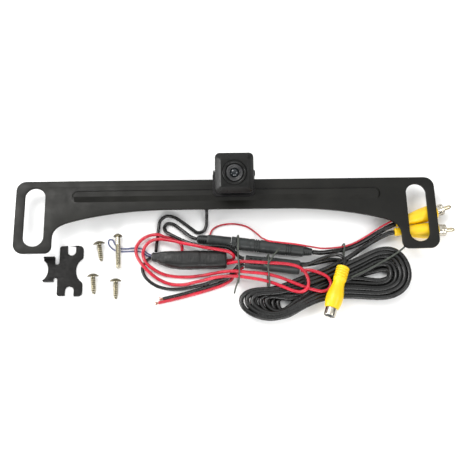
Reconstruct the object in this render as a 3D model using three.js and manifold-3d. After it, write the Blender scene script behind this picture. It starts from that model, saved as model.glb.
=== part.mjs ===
// Number-plate backup camera kit, laid flat on a table: a stamped steel bar with the camera pod in its
// tilting cradle, the wiring harness with its connectors and hank of video cable, and the loose fixings.
// Millimetres, +Z up. The bar's front faces +Z and its length runs along X. Z = 0 is the table.
import * as THREE from 'three';
import { mergeVertices } from 'three/addons/utils/BufferGeometryUtils.js';
import Module from 'manifold-3d';

const wasm = await Module();
wasm.setup();

// ---------------------------------------------------------------- driving dimensions
const GAP = 0.3; // clearance between pieces that touch on the real object

const BAR_BACK = 12; // height of the bar's back face above the table
const BAR_THICK = 2;
const BAR_FRONT = BAR_BACK + BAR_THICK;
const BAR_HALF = 150; // half of the bar's length
const BAR_TOP = 10.7; // upper edge
const BAR_NARROW = -12; // lower edge at the middle
const TAB_BOTTOM = -43.5; // lower edge of the end tabs
const TAB_INNER = 123.2; // inner edge of the end tabs
const CORNER = 7;
const SLOT_X = 136.3;
const SLOT_TOP = 5.5;
const SLOT_BOTTOM = -38.4;
const SLOT_WIDTH = 14.2;
const RIB_Y = -1.5; // pressed rib along the bar
const RIB_HALF = 110.5;
const RIB_WIDTH = 9;
const RIB_RISE = 1.9;

const POD_X = 5; // the camera sits a little right of the bar's middle
const PIVOT_Y = 8.3;
const PIVOT_Z = 29.5;
const POD_TILT = 20; // degrees that the lens looks down towards the tabs
const BEZEL_W = 27;
const BEZEL_H = 28;
const BEZEL_BACK = 5; // pod heights are measured from the pivot along the lens axis
const BEZEL_FRONT = 10.6;
const CHAMFER = 4.2;
const SHELL_R = 11; // round back of the pod, about the pivot
const SHELL_HALF = 11.4;
const SHELL_FRONT = 3.9;
const LENS_RING_R = 8.3;
const BARREL_R = 5.8;

const CRADLE_TOP = 18.2;
const CHEEK_IN = 11.7;
const CHEEK_OUT = 13.3;
const CRADLE_SCREW_X = 11; // each side of the pod's middle
const CRADLE_SCREW_Y = 7;

const PLUG_Z = 5.9; // axis height of the two phono plugs
const JACK_Z = 14.8; // axis height of the phono socket, which lies on the hank
const CONNECTOR_Z = 6.1;
const JOINT_Z = 6.6;
const HANK_LOW = 1.4;
const HANK_HIGH = 8.6;

const CAMERA_CORD = 2.4; // cord diameters
const MODULE_CABLE = 2.5;
const VIDEO_CABLE = 3.4;
const POWER_WIRE = 2.3;
const TAP_WIRE = 2.2;
const TRIGGER_WIRE = 1.2;
const LOOP_WIRE = 0.9;
const TIE_WIRE = 1.2;

const DEG = Math.PI / 180;

// ---------------------------------------------------------------- materials
const material = (color, roughness, metalness = 0) =>
  new THREE.MeshStandardMaterial({ color, roughness, metalness });

const BLACK_PAINT = material(0x2b2b28, 0.5, 0.2);
const BLACK_PLASTIC = material(0x242422, 0.45);
const DARK_RUBBER = material(0x1d1d1c, 0.6);
const CORD_BLACK = material(0x2a2a2a, 0.42);
const CORD_RED = material(0xc02637, 0.35);
const CORD_BLUE = material(0x3c4a8c, 0.4);
const YELLOW = material(0xf2d51c, 0.35);
const NICKEL = material(0xc9c4b4, 0.25, 1);
const GOLD = material(0xcfa545, 0.25, 1);
const ZINC = material(0xb4ad97, 0.32, 1);
const GLASS = material(0x1a2226, 0.05);
const BOARD = material(0x1f5a35, 0.6);
const CHIP = material(0x3a3d42, 0.3);
const WHITE_PLASTIC = material(0xe7e3d2, 0.4);

// ---------------------------------------------------------------- geometry helpers
/** Closed manifold solid of a three.js geometry. */
function solid(geometry) {
  const plain = geometry.index ? geometry.toNonIndexed() : geometry.clone();
  plain.deleteAttribute('normal');
  plain.deleteAttribute('uv');
  const merged = mergeVertices(plain, 1e-4);
  const vertProperties = new Float32Array(merged.attributes.position.array);
  const triVerts = new Uint32Array(merged.index.array);
  const mesh = new wasm.Mesh({ numProp: 3, vertProperties, triVerts });
  return new wasm.Manifold(mesh);
}

/** Three.js geometry of a manifold solid. */
function geometryOf(body) {
  const mesh = body.getMesh();
  const geometry = new THREE.BufferGeometry();
  geometry.setAttribute('position', new THREE.BufferAttribute(new Float32Array(mesh.vertProperties), 3));
  geometry.setIndex(new THREE.BufferAttribute(new Uint32Array(mesh.triVerts), 1));
  return geometry;
}

function cut(geometry, ...tools) {
  let body = solid(geometry);
  for (const tool of tools) body = body.subtract(solid(tool));
  return geometryOf(body);
}

function join(geometry, ...others) {
  let body = solid(geometry);
  for (const other of others) body = body.add(solid(other));
  return geometryOf(body);
}

function common(geometry, other) {
  return geometryOf(solid(geometry).intersect(solid(other)));
}

/** Box between two corners. */
function block(x0, x1, y0, y1, z0, z1) {
  const geometry = new THREE.BoxGeometry(x1 - x0, y1 - y0, z1 - z0);
  return geometry.translate((x0 + x1) / 2, (y0 + y1) / 2, (z0 + z1) / 2);
}

/** Upright cylinder between two heights. */
function rod(radius, x, y, z0, z1, sides = 16) {
  const geometry = new THREE.CylinderGeometry(radius, radius, z1 - z0, sides);
  return geometry.rotateX(90 * DEG).translate(x, y, (z0 + z1) / 2);
}

/** Cylinder along X between two places. */
function rodAlongX(radius, x0, x1, y, z, sides = 12) {
  const geometry = new THREE.CylinderGeometry(radius, radius, x1 - x0, sides);
  return geometry.rotateZ(90 * DEG).translate((x0 + x1) / 2, y, z);
}

/** Turned piece about Z from [radius, height] pairs, listed from low to high. */
function turned(profile, sides = 16) {
  const points = profile.map(([r, z]) => new THREE.Vector2(r, z));
  return new THREE.LatheGeometry(points, sides).rotateX(90 * DEG);
}

/** Extrusion of an XY outline between two heights. */
function plate(shape, z0, z1, curveSegments = 6) {
  const options = { depth: z1 - z0, bevelEnabled: false, curveSegments };
  return new THREE.ExtrudeGeometry(shape, options).translate(0, 0, z0);
}

/** Rectangle with round corners, centred on a point. */
function roundedRect(width, height, radius, cx = 0, cy = 0) {
  const shape = new THREE.Shape();
  const x = width / 2 - radius;
  const y = height / 2 - radius;
  shape.absarc(cx + x, cy - y, radius, -90 * DEG, 0, false);
  shape.absarc(cx + x, cy + y, radius, 0, 90 * DEG, false);
  shape.absarc(cx - x, cy + y, radius, 90 * DEG, 180 * DEG, false);
  shape.absarc(cx - x, cy - y, radius, 180 * DEG, 270 * DEG, false);
  shape.closePath();
  return shape;
}

/** Slot outline with round ends, upright along Y. */
function uprightSlot(x, y0, y1, width) {
  const path = new THREE.Path();
  const r = width / 2;
  path.absarc(x, y0 + r, r, 180 * DEG, 360 * DEG, false);
  path.absarc(x, y1 - r, r, 0, 180 * DEG, false);
  path.closePath();
  return path;
}

const CORD_SIDES = 8;

/** Smooth curve through the points. */
function smoothPath(points, closed = false) {
  return new THREE.CatmullRomCurve3(points.map((p) => new THREE.Vector3(...p)), closed, 'centripetal');
}

/** Number of straight steps that a cord of this diameter takes along its curve. */
function cordSteps(curve, diameter) {
  return Math.min(80, Math.max(6, Math.ceil(curve.getLength() / Math.max(3 * diameter, 4.5))));
}

/** Cord of even width along a smooth curve through the points, with flat ends. */
function tube(points, diameter) {
  const curve = smoothPath(points);
  const sides = CORD_SIDES;
  const section = new THREE.Shape();
  for (let i = 0; i < sides; i += 1) {
    const angle = (i / sides) * 2 * Math.PI;
    const x = (diameter / 2) * Math.cos(angle);
    const y = (diameter / 2) * Math.sin(angle);
    if (i === 0) section.moveTo(x, y);
    else section.lineTo(x, y);
  }
  const steps = cordSteps(curve, diameter);
  return new THREE.ExtrudeGeometry(section, { steps, bevelEnabled: false, extrudePath: curve });
}

/** Endless ring of round wire through the points. */
function wireRing(points, diameter) {
  const curve = smoothPath(points, true);
  return new THREE.TubeGeometry(curve, cordSteps(curve, diameter), diameter / 2, CORD_SIDES, true);
}

/** Turns a piece made along +Z so that it points along `direction`, with its foot at `foot`. */
function aim(object, foot, direction) {
  const d = new THREE.Vector3(...direction).normalize();
  object.quaternion.setFromUnitVectors(new THREE.Vector3(0, 0, 1), d);
  object.position.set(...foot);
  return object;
}

function piece(name, geometry, look) {
  const mesh = new THREE.Mesh(geometry, look);
  mesh.name = name;
  return mesh;
}

// ---------------------------------------------------------------- mounting bar
function barOutline() {
  const half = new THREE.Path();
  half.moveTo(0, BAR_TOP);
  half.lineTo(BAR_HALF - CORNER, BAR_TOP);
  half.absarc(BAR_HALF - CORNER, BAR_TOP - CORNER, CORNER, 90 * DEG, 0, true);
  half.absarc(BAR_HALF - CORNER, TAB_BOTTOM + CORNER, CORNER, 0, -90 * DEG, true);
  half.absarc(TAB_INNER + 5, TAB_BOTTOM + 5, 5, -90 * DEG, -180 * DEG, true);
  half.lineTo(TAB_INNER, -33);
  half.bezierCurveTo(TAB_INNER, -25, 118, -22.3, 109, -20);
  half.bezierCurveTo(88, -14.8, 66, BAR_NARROW, 40, BAR_NARROW);
  half.lineTo(0, BAR_NARROW);
  const right = half.getPoints(6).slice(1, -1);
  const left = right.map((p) => new THREE.Vector2(-p.x, p.y)).reverse();
  return new THREE.Shape([...right, ...left]);
}

/** Rounded bead lying along X: half length, half width and height of its rounded edge. */
function bead(halfLength, halfWidth, height, zMiddle) {
  const core = halfWidth * 0.4;
  const edge = halfWidth - core;
  const shape = new THREE.Shape();
  const reach = halfLength - halfWidth;
  shape.absarc(reach, 0, core, -90 * DEG, 90 * DEG, false);
  shape.absarc(-reach, 0, core, 90 * DEG, 270 * DEG, false);
  shape.closePath();
  const options = {
    depth: 0.02, bevelEnabled: true, bevelThickness: height, bevelSize: edge, bevelSegments: 2, curveSegments: 5,
  };
  return new THREE.ExtrudeGeometry(shape, options).translate(0, RIB_Y, zMiddle - 0.01);
}

function mountingBar() {
  const outline = barOutline();
  for (const side of [-1, 1]) outline.holes.push(uprightSlot(side * SLOT_X, SLOT_BOTTOM, SLOT_TOP, SLOT_WIDTH));
  const sheet = plate(outline, BAR_BACK, BAR_FRONT);
  const rise = RIB_RISE + BAR_THICK / 2;
  const outer = bead(RIB_HALF, RIB_WIDTH / 2, rise, BAR_BACK + BAR_THICK / 2);
  const upper = common(outer, block(-BAR_HALF, BAR_HALF, -20, 20, BAR_BACK + 0.5, BAR_FRONT + 5));
  const hollow = bead(RIB_HALF - 2, RIB_WIDTH / 2 - 1.9, 2.1, BAR_BACK);
  const cordHole = rod(3.2, POD_X, 1, BAR_BACK - 1, BAR_FRONT + 4);
  const screwHoles = [-1, 1].map((side) =>
    rod(1.9, POD_X + side * CRADLE_SCREW_X, CRADLE_SCREW_Y, BAR_BACK - 1, BAR_FRONT + 1, 12));
  return piece('mounting_bar', cut(join(sheet, upper), hollow, cordHole, ...screwHoles), BLACK_PAINT);
}

// ---------------------------------------------------------------- cradle and rear clamp
function cameraCradle() {
  const base = plate(roundedRect(30, 19.5, 4, POD_X, 5.8), BAR_FRONT + GAP, CRADLE_TOP);
  const cheek = new THREE.Shape();
  cheek.moveTo(3.2, CRADLE_TOP - 1.5);
  cheek.lineTo(13.4, CRADLE_TOP - 1.5);
  cheek.lineTo(PIVOT_Y + 4.3, PIVOT_Z);
  cheek.absarc(PIVOT_Y, PIVOT_Z, 4.3, 0, 180 * DEG, false);
  cheek.closePath();
  const cheeks = [-1, 1].map((side) => {
    const wall = new THREE.ExtrudeGeometry(cheek, {
      depth: CHEEK_OUT - CHEEK_IN, bevelEnabled: false, curveSegments: 10,
    });
    // the outline lies in YZ: local X becomes Y, local Y becomes Z, and the depth runs along X
    wall.applyMatrix4(new THREE.Matrix4().makeBasis(
      new THREE.Vector3(0, 1, 0), new THREE.Vector3(0, 0, 1), new THREE.Vector3(1, 0, 0)));
    return wall.translate(side > 0 ? POD_X + CHEEK_IN : POD_X - CHEEK_OUT, 0, 0);
  });
  const ribRoom = block(POD_X - 20, POD_X + 20, -20, 3.6, BAR_BACK, BAR_FRONT + RIB_RISE + GAP);
  const cordHole = rod(3.2, POD_X, 1, BAR_BACK, CRADLE_TOP + 1);
  const screwHoles = [-1, 1].map((side) =>
    rod(1.4, POD_X + side * CRADLE_SCREW_X, CRADLE_SCREW_Y, BAR_BACK, CRADLE_TOP - 0.6, 12));
  const pivotHole = rodAlongX(1.6, POD_X - 20, POD_X + 20, PIVOT_Y, PIVOT_Z, 16);
  const body = cut(join(base, ...cheeks), ribRoom, cordHole, pivotHole, ...screwHoles);
  return piece('camera_cradle', body, BLACK_PLASTIC);
}

const CORD_EXIT_X = -14.6; // where the camera's cord leaves the rear clamp block

function rearClampBlock() {
  const body = plate(roundedRect(39, 16, 3, 0.5, 2), 0, BAR_BACK - GAP);
  const trough = block(CORD_EXIT_X - 2.4, 8.5, -1.5, 3.4, 3, BAR_BACK);
  const outlet = rod(2.5, 0, 0, 0, 8, 12).rotateX(90 * DEG).translate(CORD_EXIT_X, 0, 5.6);
  const screwRoom = [-1, 1].flatMap((side) => {
    const x = POD_X + side * CRADLE_SCREW_X;
    return [rod(2.9, x, CRADLE_SCREW_Y, -1, 3, 16), rod(1.4, x, CRADLE_SCREW_Y, 2, BAR_BACK + 1, 12)];
  });
  return piece('rear_clamp_block', cut(body, trough, outlet, ...screwRoom), BLACK_PLASTIC);
}

function cordGrommet() {
  // made along +Z, then pointed along -Y out of the block
  const profile = [[0, 0], [2.2, 0], [2.2, 4.3], [3, 4.6], [3, 5.6], [2.1, 7.6], [0, 7.6]];
  return aim(piece('cord_grommet', turned(profile, 16), DARK_RUBBER), [CORD_EXIT_X, -1.7, 5.6], [0, -1, 0]);
}

/** Cross recess for a screw head whose top is at height z. */
function crossRecess(z, depth, span) {
  const wide = block(-span / 2, span / 2, -0.3, 0.3, z - depth, z + 1);
  const tall = block(-0.3, 0.3, -span / 2, span / 2, z - depth, z + 1);
  return [wide, tall];
}

function cradleScrews() {
  return [-1, 1].map((side) => {
    const length = CRADLE_TOP - 1.2 - 3;
    const profile = [[0, -1.9], [1.6, -1.9], [2.5, -0.9], [2.5, 0], [1.1, 0], [1.1, length], [0, length]];
    const head = crossRecess(0, 0.8, 2.4).map((g) => g.rotateX(180 * DEG).translate(0, 0, -1.9));
    const screw = piece(side < 0 ? 'cradle_screw_left' : 'cradle_screw_right', cut(turned(profile, 12), ...head), ZINC);
    screw.position.set(POD_X + side * CRADLE_SCREW_X, CRADLE_SCREW_Y, 2.7);
    return screw;
  });
}

// ---------------------------------------------------------------- camera pod, built about the pivot with the lens along +Z
const HOUSING_SCREW_X = 9.3;
const HOUSING_SCREW_Y = 8.4;

function housingScrewPlaces() {
  return [[-1, 1], [1, 1], [-1, -1], [1, -1]].map(([sx, sy]) => [sx * HOUSING_SCREW_X, sy * HOUSING_SCREW_Y]);
}

function frontBezel() {
  const face = roundedRect(BEZEL_W - 2 * CHAMFER, BEZEL_H - 2 * CHAMFER, 1.2);
  const depth = 8;
  const chamfered = new THREE.ExtrudeGeometry(face, {
    depth, bevelEnabled: true, bevelThickness: CHAMFER, bevelSize: CHAMFER, bevelSegments: 1, curveSegments: 5,
  }).translate(0, 0, BEZEL_FRONT - CHAMFER - depth);
  const front = common(chamfered, block(-20, 20, -20, 20, BEZEL_BACK, BEZEL_FRONT + 1));
  const bore = rod(BARREL_R + GAP, 0, 0, 0, 20, 24);
  const ringSeat = rod(LENS_RING_R + GAP, 0, 0, BEZEL_FRONT - 1.6, 20, 24);
  const pilotHoles = housingScrewPlaces().map(([x, y]) => rod(1.1, x, y, 0, 7.6, 10));
  return piece('front_bezel', cut(front, bore, ringSeat, ...pilotHoles), BLACK_PLASTIC);
}

function housingGasket() {
  const shape = roundedRect(22.4, 21.4, 2);
  const opening = new THREE.Path();
  opening.absarc(0, 0, 8.1, 0, 360 * DEG, false);
  shape.holes.push(opening);
  const holes = housingScrewPlaces().map(([x, y]) => rod(1.1, x, y, 0, 8, 10));
  return piece('housing_gasket', cut(plate(shape, SHELL_FRONT + GAP / 2, BEZEL_BACK - GAP / 2, 5), ...holes), DARK_RUBBER);
}

function rearShell() {
  const profile = new THREE.Shape();
  profile.moveTo(SHELL_R, SHELL_FRONT);
  profile.lineTo(-SHELL_R, SHELL_FRONT);
  profile.absarc(0, 0, SHELL_R, 180 * DEG, 360 * DEG, false);
  profile.closePath();
  const body = new THREE.ExtrudeGeometry(profile, { depth: 2 * SHELL_HALF, bevelEnabled: false, curveSegments: 9 });
  body.applyMatrix4(new THREE.Matrix4().makeBasis(
    new THREE.Vector3(0, 1, 0), new THREE.Vector3(0, 0, 1), new THREE.Vector3(1, 0, 0)));
  body.translate(-SHELL_HALF, 0, 0);
  const wideRoom = block(-9.8, 9.8, -5.9, 5.9, -7, 8);
  const tallRoom = block(-6.9, 6.9, -9.4, 9.4, -5.2, 8);
  const screwRoom = housingScrewPlaces().flatMap(([x, y]) => [rod(1.95, x, y, -12, -3.4, 12), rod(1.2, x, y, -4, 8, 10)]);
  const pivotHole = rodAlongX(1.5, -12, 12, 0, 0, 16);
  const cordHole = rod(1.6, 0, -4, -12, 0, 12);
  return piece('rear_shell', cut(body, wideRoom, tallRoom, pivotHole, cordHole, ...screwRoom), BLACK_PLASTIC);
}

function lensPieces() {
  const ringFront = BEZEL_FRONT + 0.5;
  const retainer = turned([
    [6.3, BEZEL_FRONT - 1.2], [LENS_RING_R, BEZEL_FRONT - 1.2], [LENS_RING_R, ringFront - 0.3],
    [LENS_RING_R - 0.4, ringFront], [7.2, ringFront], [6.3, ringFront - 1], [6.3, BEZEL_FRONT - 1.2],
  ], 24);
  const barrel = turned([
    [0, 1.6], [3, 1.6], [BARREL_R - 1, 1.6], [BARREL_R - 1, 4.6], [BARREL_R, 5.2], [BARREL_R, 10.2],
    [BARREL_R - 0.5, 10.5], [4.2, 9.9], [3.3, 8.9], [3.3, 7.4], [0, 7.4],
  ], 20);
  const glass = turned([[0, 7.7], [3, 7.7], [3, 8.6], [2.3, 9.5], [1.2, 9.95], [0, 10.1]], 16);
  const holder = join(
    cut(block(-6.5, 6.5, -6.5, 6.5, -1, 0.6), rod(4.4, 0, 0, -2, 2)),
    cut(rod(6.5, 0, 0, 0.3, 4.2, 20), rod(BARREL_R - 1 + GAP, 0, 0, -2, 6)),
  );
  return [
    piece('lens_ring', retainer, BLACK_PLASTIC),
    piece('lens_barrel', barrel, BLACK_PAINT),
    piece('lens_front_glass', glass, GLASS),
    piece('lens_holder', holder, BLACK_PLASTIC),
  ];
}

function boards() {
  return [
    piece('image_sensor', block(-2.9, 2.9, -2.3, 2.3, -1, 0.1), CHIP),
    piece('sensor_board', plate(roundedRect(13.2, 17.6, 1), -2.5, -1.3, 3), BOARD),
  ];
}

function housingScrews() {
  const profile = [[0, -1.3], [1.2, -1.3], [1.65, -0.7], [1.65, 0], [0.8, 0], [0.8, 10.6], [0, 10.6]];
  return housingScrewPlaces().map(([x, y], i) => {
    const recess = crossRecess(0, 0.6, 1.6).map((g) => g.rotateX(180 * DEG).translate(0, 0, -1.3));
    const screw = piece(`housing_screw_${i + 1}`, cut(turned(profile, 10), ...recess), ZINC);
    screw.position.set(x, y, -3.7);
    return screw;
  });
}

function pivotScrews() {
  const shaft = CHEEK_OUT - 9.9 + GAP;
  const profile = [[0, -shaft], [1.2, -shaft], [1.2, 0], [2.4, 0], [2.4, 0.6], [1.7, 1.2], [0, 1.2]];
  return [-1, 1].map((side) => {
    const screw = piece(side < 0 ? 'pivot_screw_left' : 'pivot_screw_right',
      cut(turned(profile, 12), ...crossRecess(1.2, 0.6, 2.2)), ZINC);
    return aim(screw, [side * (CHEEK_OUT + GAP), 0, 0], [side, 0, 0]);
  });
}

function cameraPod() {
  const pod = new THREE.Group();
  pod.add(frontBezel(), housingGasket(), rearShell(), ...lensPieces(), ...boards(), ...housingScrews(), ...pivotScrews());
  pod.position.set(POD_X, PIVOT_Y, PIVOT_Z);
  pod.rotation.x = POD_TILT * DEG;
  return pod;
}

// ---------------------------------------------------------------- connectors and power filter
const CONNECTOR_FOOT = [-21.7, -31.9, CONNECTOR_Z];
const CONNECTOR_AXIS = [81.6, -11, 0];

function inlineConnector() {
  const plug = turned([
    [0, 0], [1.9, 0], [2.9, 1], [3.4, 7], [3.9, 7.6], [4.1, 8.4], [4.1, 24.2], [0, 24.2],
  ]);
  const grip = [1.6, 3.3, 5].map((z) => cut(rod(5, 0, 0, z, z + 0.7), rod(2.5, 0, 0, z - 1, z + 2)));
  const lockRing = turned([[0, 24.5], [4.4, 24.5], [4.6, 25], [4.6, 27.5], [4.4, 28], [0, 28]]);
  const socket = turned([
    [0, 28.3], [4.3, 28.3], [4.5, 28.8], [4.5, 62], [4.2, 68], [4.1, 75.4], [3.3, 76.2], [2.8, 82], [0, 82],
  ]);
  const bands = [40.2, 41.6, 64, 65.6].map((z) => cut(rod(6, 0, 0, z, z + 0.6), rod(4.05, 0, 0, z - 1, z + 2)));
  return [
    piece('inline_plug_body', cut(plug, ...grip), BLACK_PLASTIC),
    piece('inline_lock_ring', lockRing, BLACK_PLASTIC),
    piece('inline_socket_body', cut(socket, ...bands), BLACK_PLASTIC),
  ].map((p) => aim(p, CONNECTOR_FOOT, CONNECTOR_AXIS));
}

function harnessJoint() {
  const body = turned([
    [0, 0], [4.6, 0], [4.7, 12], [5, 13], [5, 37.5], [4.6, 38.6], [0, 38.6],
  ]);
  const slots = [3, 6.4, 9.8].map((z) => block(-6, 6, 3.9, 6, z, z + 1.8));
  return aim(piece('harness_joint', cut(body, ...slots), BLACK_PLASTIC), [12, -49.5, JOINT_Z], [38.4, -5, 0]);
}

function filterBox() {
  const outline = new THREE.Shape();
  outline.moveTo(-54, -40.6);
  outline.lineTo(-1, -41);
  outline.lineTo(-1, -54);
  outline.lineTo(-34, -54);
  outline.lineTo(-45, -51);
  outline.lineTo(-54, -47.5);
  outline.closePath();
  const inset = 1.6;
  const body = new THREE.ExtrudeGeometry(outline, {
    depth: 10.6 - 2 * inset, bevelEnabled: true, bevelThickness: inset, bevelSize: inset, bevelOffset: -inset,
    bevelSegments: 2, curveSegments: 3,
  }).translate(0, 0, 0.3 + inset);
  return piece('power_filter_box', body, DARK_RUBBER);
}

// ---------------------------------------------------------------- phono plugs and socket
function phonoPlug(letter, foot, direction) {
  const boot = turned([
    [0, 0], [2.9, 0], [2.9, 3.8], [2.4, 4.2], [2.4, 5], [3.5, 5.5], [4.3, 12], [5.2, 18.5], [5.6, 23],
    [5.6, 30.5], [5.1, 31.4], [0, 31.4],
  ]);
  const shell = cut(
    turned([[0, 31.7], [4.15, 31.7], [4.15, 36.6], [3.9, 36.9], [0, 36.9]]),
    rod(3.5, 0, 0, 32.4, 40),
    block(-5, 5, -0.35, 0.35, 33.5, 40),
    block(-0.35, 0.35, -5, 5, 33.5, 40),
  );
  const insulator = cut(rod(3.2, 0, 0, 32.7, 35), rod(1.9, 0, 0, 32, 36, 12));
  const pin = turned([[0, 32.7], [1.6, 32.7], [1.6, 43], [1.2, 43.6], [0, 43.8]], 12);
  return [
    piece(`rca_plug_${letter}_boot`, boot, YELLOW),
    piece(`rca_plug_${letter}_shell`, shell, NICKEL),
    piece(`rca_plug_${letter}_insulator`, insulator, WHITE_PLASTIC),
    piece(`rca_plug_${letter}_pin`, pin, GOLD),
  ].map((p) => aim(p, foot, direction));
}

function phonoSocket() {
  const boot = turned([
    [0, 0], [4.4, 0], [4.6, 0.6], [4.6, 9.6], [4.1, 11.5], [4.2, 13.5], [5.2, 18], [5.9, 22.5], [5.8, 26.5],
    [4.8, 31], [0, 31],
  ]);
  const grooves = [1.6, 3.6, 5.6, 7.6].map((z) => cut(rod(6, 0, 0, z, z + 0.7), rod(4.1, 0, 0, z - 1, z + 2)));
  const shell = cut(rod(4.1, 0, 0, 31.3, 36.8), rod(3.55, 0, 0, 32.2, 40));
  const insulator = cut(rod(3.2, 0, 0, 32.5, 36.4), rod(1.7, 0, 0, 33, 40, 12));
  return [
    piece('rca_jack_boot', cut(boot, ...grooves), YELLOW),
    piece('rca_jack_shell', shell, NICKEL),
    piece('rca_jack_insulator', insulator, CHIP),
  ].map((p) => aim(p, [79.8, -57, JACK_Z], [-12, -34.8, 0]));
}

// ---------------------------------------------------------------- hank of video cable
function videoHank() {
  const edge = [
    [3, -69], [15, -68.8], [28, -69.4], [50, -61.2], [70, -54], [83, -48], [95, -43.4], [104, -39], [112, -36],
    [121, -38], [128, -46], [131.3, -57], [129, -68], [120, -77.5], [109, -82], [91, -81], [70, -79.5],
    [49, -87.5], [28, -93.8], [17, -91], [7.5, -82], [2.4, -74],
  ];
  const curve = new THREE.CatmullRomCurve3(edge.map(([x, y]) => new THREE.Vector3(x, y, 0)), true, 'centripetal');
  const outline = new THREE.Shape(curve.getPoints(44).slice(0, -1).map((p) => new THREE.Vector2(p.x, p.y)));
  return piece('video_cable_hank', plate(outline, HANK_LOW, HANK_HIGH), CORD_BLACK);
}

// ---------------------------------------------------------------- cords, each along its own route
const CAMERA_CORD_ROUTE = [
  [-14.6, -9.7, 5.6], [-14.6, -12.5, 4.6], [-14.7, -16, 2.6], [-15, -20, 1.6], [-17, -24.3, 1.4],
  [-21.2, -25.4, 1.4], [-26, -22.1, 1.4], [-32, -17.4, 1.4], [-38, -13.4, 1.4], [-43.8, -12.4, 1.4],
  [-48.2, -16.2, 1.4], [-49.4, -22.5, 1.4], [-50, -29, 1.4], [-50.6, -35, 2.4], [-50.8, -40.2, 4.6],
];
const MODULE_CABLE_ROUTE = [
  [-22.3, -31.8, 6.1], [-25.4, -30.2, 5], [-29.5, -26.4, 2.8], [-34.5, -21.9, 1.6], [-39.2, -18.6, 1.4],
  [-43, -18.4, 1.4], [-45.2, -21.2, 1.6], [-44, -24.8, 2.7], [-41, -27.4, 4.4], [-37.6, -29.5, 5],
  [-31, -33.2, 5.8], [-23, -36.6, 7.8], [-14, -38.4, 9.8], [-5, -39, 10.4], [1.2, -40.4, 10], [5.6, -44, 8.4],
  [8.4, -46.6, 7.8], [11.3, -47.3, 7.6],
];
const PLUG_A_CORD_ROUTE = [
  [60.3, -43, 6.1], [66, -43.2, 5], [74, -41.8, 3.4], [83, -40.4, 3.3], [91, -37.6, 3.2], [99, -33.5, 2.6],
  [107, -28.9, 3], [114, -25.4, 4.4], [120.8, -22.5, 5.9],
];
const VIDEO_TAIL_PLUG_ROUTE = [
  [119.6, -28.8, 5.9], [113, -30.2, 5], [106, -33.6, 3.2], [97.5, -38.7, 3.3], [88, -43.3, 3.3],
];
const VIDEO_TAIL_JOINT_ROUTE = [
  [51.2, -52.2, 6.4], [57, -51.8, 5.2], [66, -49.8, 3.6], [74, -46.9, 3.3], [80.4, -45.2, 3.3],
];
const JACK_CORD_ROUTE = [
  [50.9, -54.2, 9.8], [57, -52.6, 9.6], [64, -49.4, 8.4], [71, -46.9, 8.4], [77, -46.5, 9.8], [80.6, -49, 12],
  [81.4, -52.7, 13.9], [79.9, -56.7, 14.8],
];
const RED_LEAD_A_ROUTE = [
  [-0.6, -47.6, 3.4], [2, -47.6, 4.3], [4, -47.1, 7], [3.8, -45.8, 10], [1, -44.1, 12.2], [-3.5, -42.9, 12.8],
  [-14.7, -40.8, 12.8], [-23, -38.6, 11.6], [-31, -36, 9.2], [-39.5, -33, 6.4], [-50, -31, 4.3],
  [-56.7, -33.4, 3], [-60, -39.2, 2.8], [-59.8, -44, 3.7], [-57.5, -48.8, 4], [-53, -52.6, 3.1],
  [-47, -55.8, 1.7], [-40.4, -57.7, 1.3], [-28, -58.5, 1.3], [-19, -58, 2.2], [-10.7, -57.3, 4.6],
  [-3, -56.9, 7.4], [4, -57.1, 9.2], [15, -58.2, 9.3], [27.4, -59.8, 9.4], [38, -63.2, 9.8], [49.4, -68.3, 10.3],
  [58, -71.6, 10.3], [65.4, -73, 10.3], [69.6, -71.2, 10.3], [71, -67.6, 10.3], [69.4, -63.4, 10.4],
  [65, -60.4, 10.6], [60.5, -58.6, 10.7], [56.3, -57.4, 9.9], [51, -57.2, 8],
];
const RED_LEAD_B_ROUTE = [
  [-32.4, -40.2, 3.6], [-32.6, -36, 2.2], [-35, -31.8, 1.5], [-39.6, -29.5, 1.3], [-44.5, -28.8, 2.4],
  [-49.8, -27.6, 4.6], [-56.8, -28.2, 3], [-62, -31.4, 2.5], [-65, -36.5, 2.6], [-64.7, -42, 3.1],
  [-62.5, -46.8, 3.9], [-59.4, -51, 3.9], [-55, -55.6, 3.1], [-48.1, -60.5, 1.6], [-40, -63.7, 1.3],
  [-31, -64.3, 2], [-23.5, -63.1, 3.4], [-16, -61.8, 4.4], [-10, -60.6, 5.7], [-3, -60.3, 7.5], [4, -60.7, 8.8],
  [15, -62.2, 9.2], [28, -65.2, 9.5], [38, -69.4, 10.3], [45, -72.4, 10.4], [50, -73.4, 11.3], [53.4, -72.1, 12.6],
  [55, -69, 13.2], [54.8, -64, 13.2], [52.4, -59, 13.3], [48.4, -55.8, 13.2], [42, -53.9, 13.1], [34, -53, 13],
  [22, -52.2, 13], [14, -51.4, 12.7], [7.5, -50.8, 11.1], [3, -50.7, 9], [-0.5, -50.7, 7.4],
];
const BLACK_LEAD_ROUTE = [
  [11, -52.1, 8.6], [7.6, -53.6, 7.6], [4, -56.8, 6.2], [0, -60.1, 5.2], [-5, -61.6, 4.4], [-10, -62.4, 3.5],
  [-17, -64.2, 1.8], [-24, -65.6, 1.3], [-32, -67.1, 1.3], [-41, -67.2, 1.3], [-48.5, -65.5, 1.3],
  [-54.6, -62, 1.3], [-59, -57.2, 1.3], [-60.6, -52, 1.3], [-59, -47.8, 1.3], [-57, -45.4, 1.6], [-54.9, -44.4, 2.6],
];
const TAP_RED_ROUTE = [
  [11, -52.9, 5], [8, -54.5, 4.3], [5, -58, 3.2], [1.4, -62, 2.4], [-4, -65, 1.5], [-10, -67.1, 1.25],
  [-17, -69.2, 1.25], [-25, -71.4, 1.25], [-34, -73.7, 1.25], [-49, -77, 1.25],
];
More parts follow.
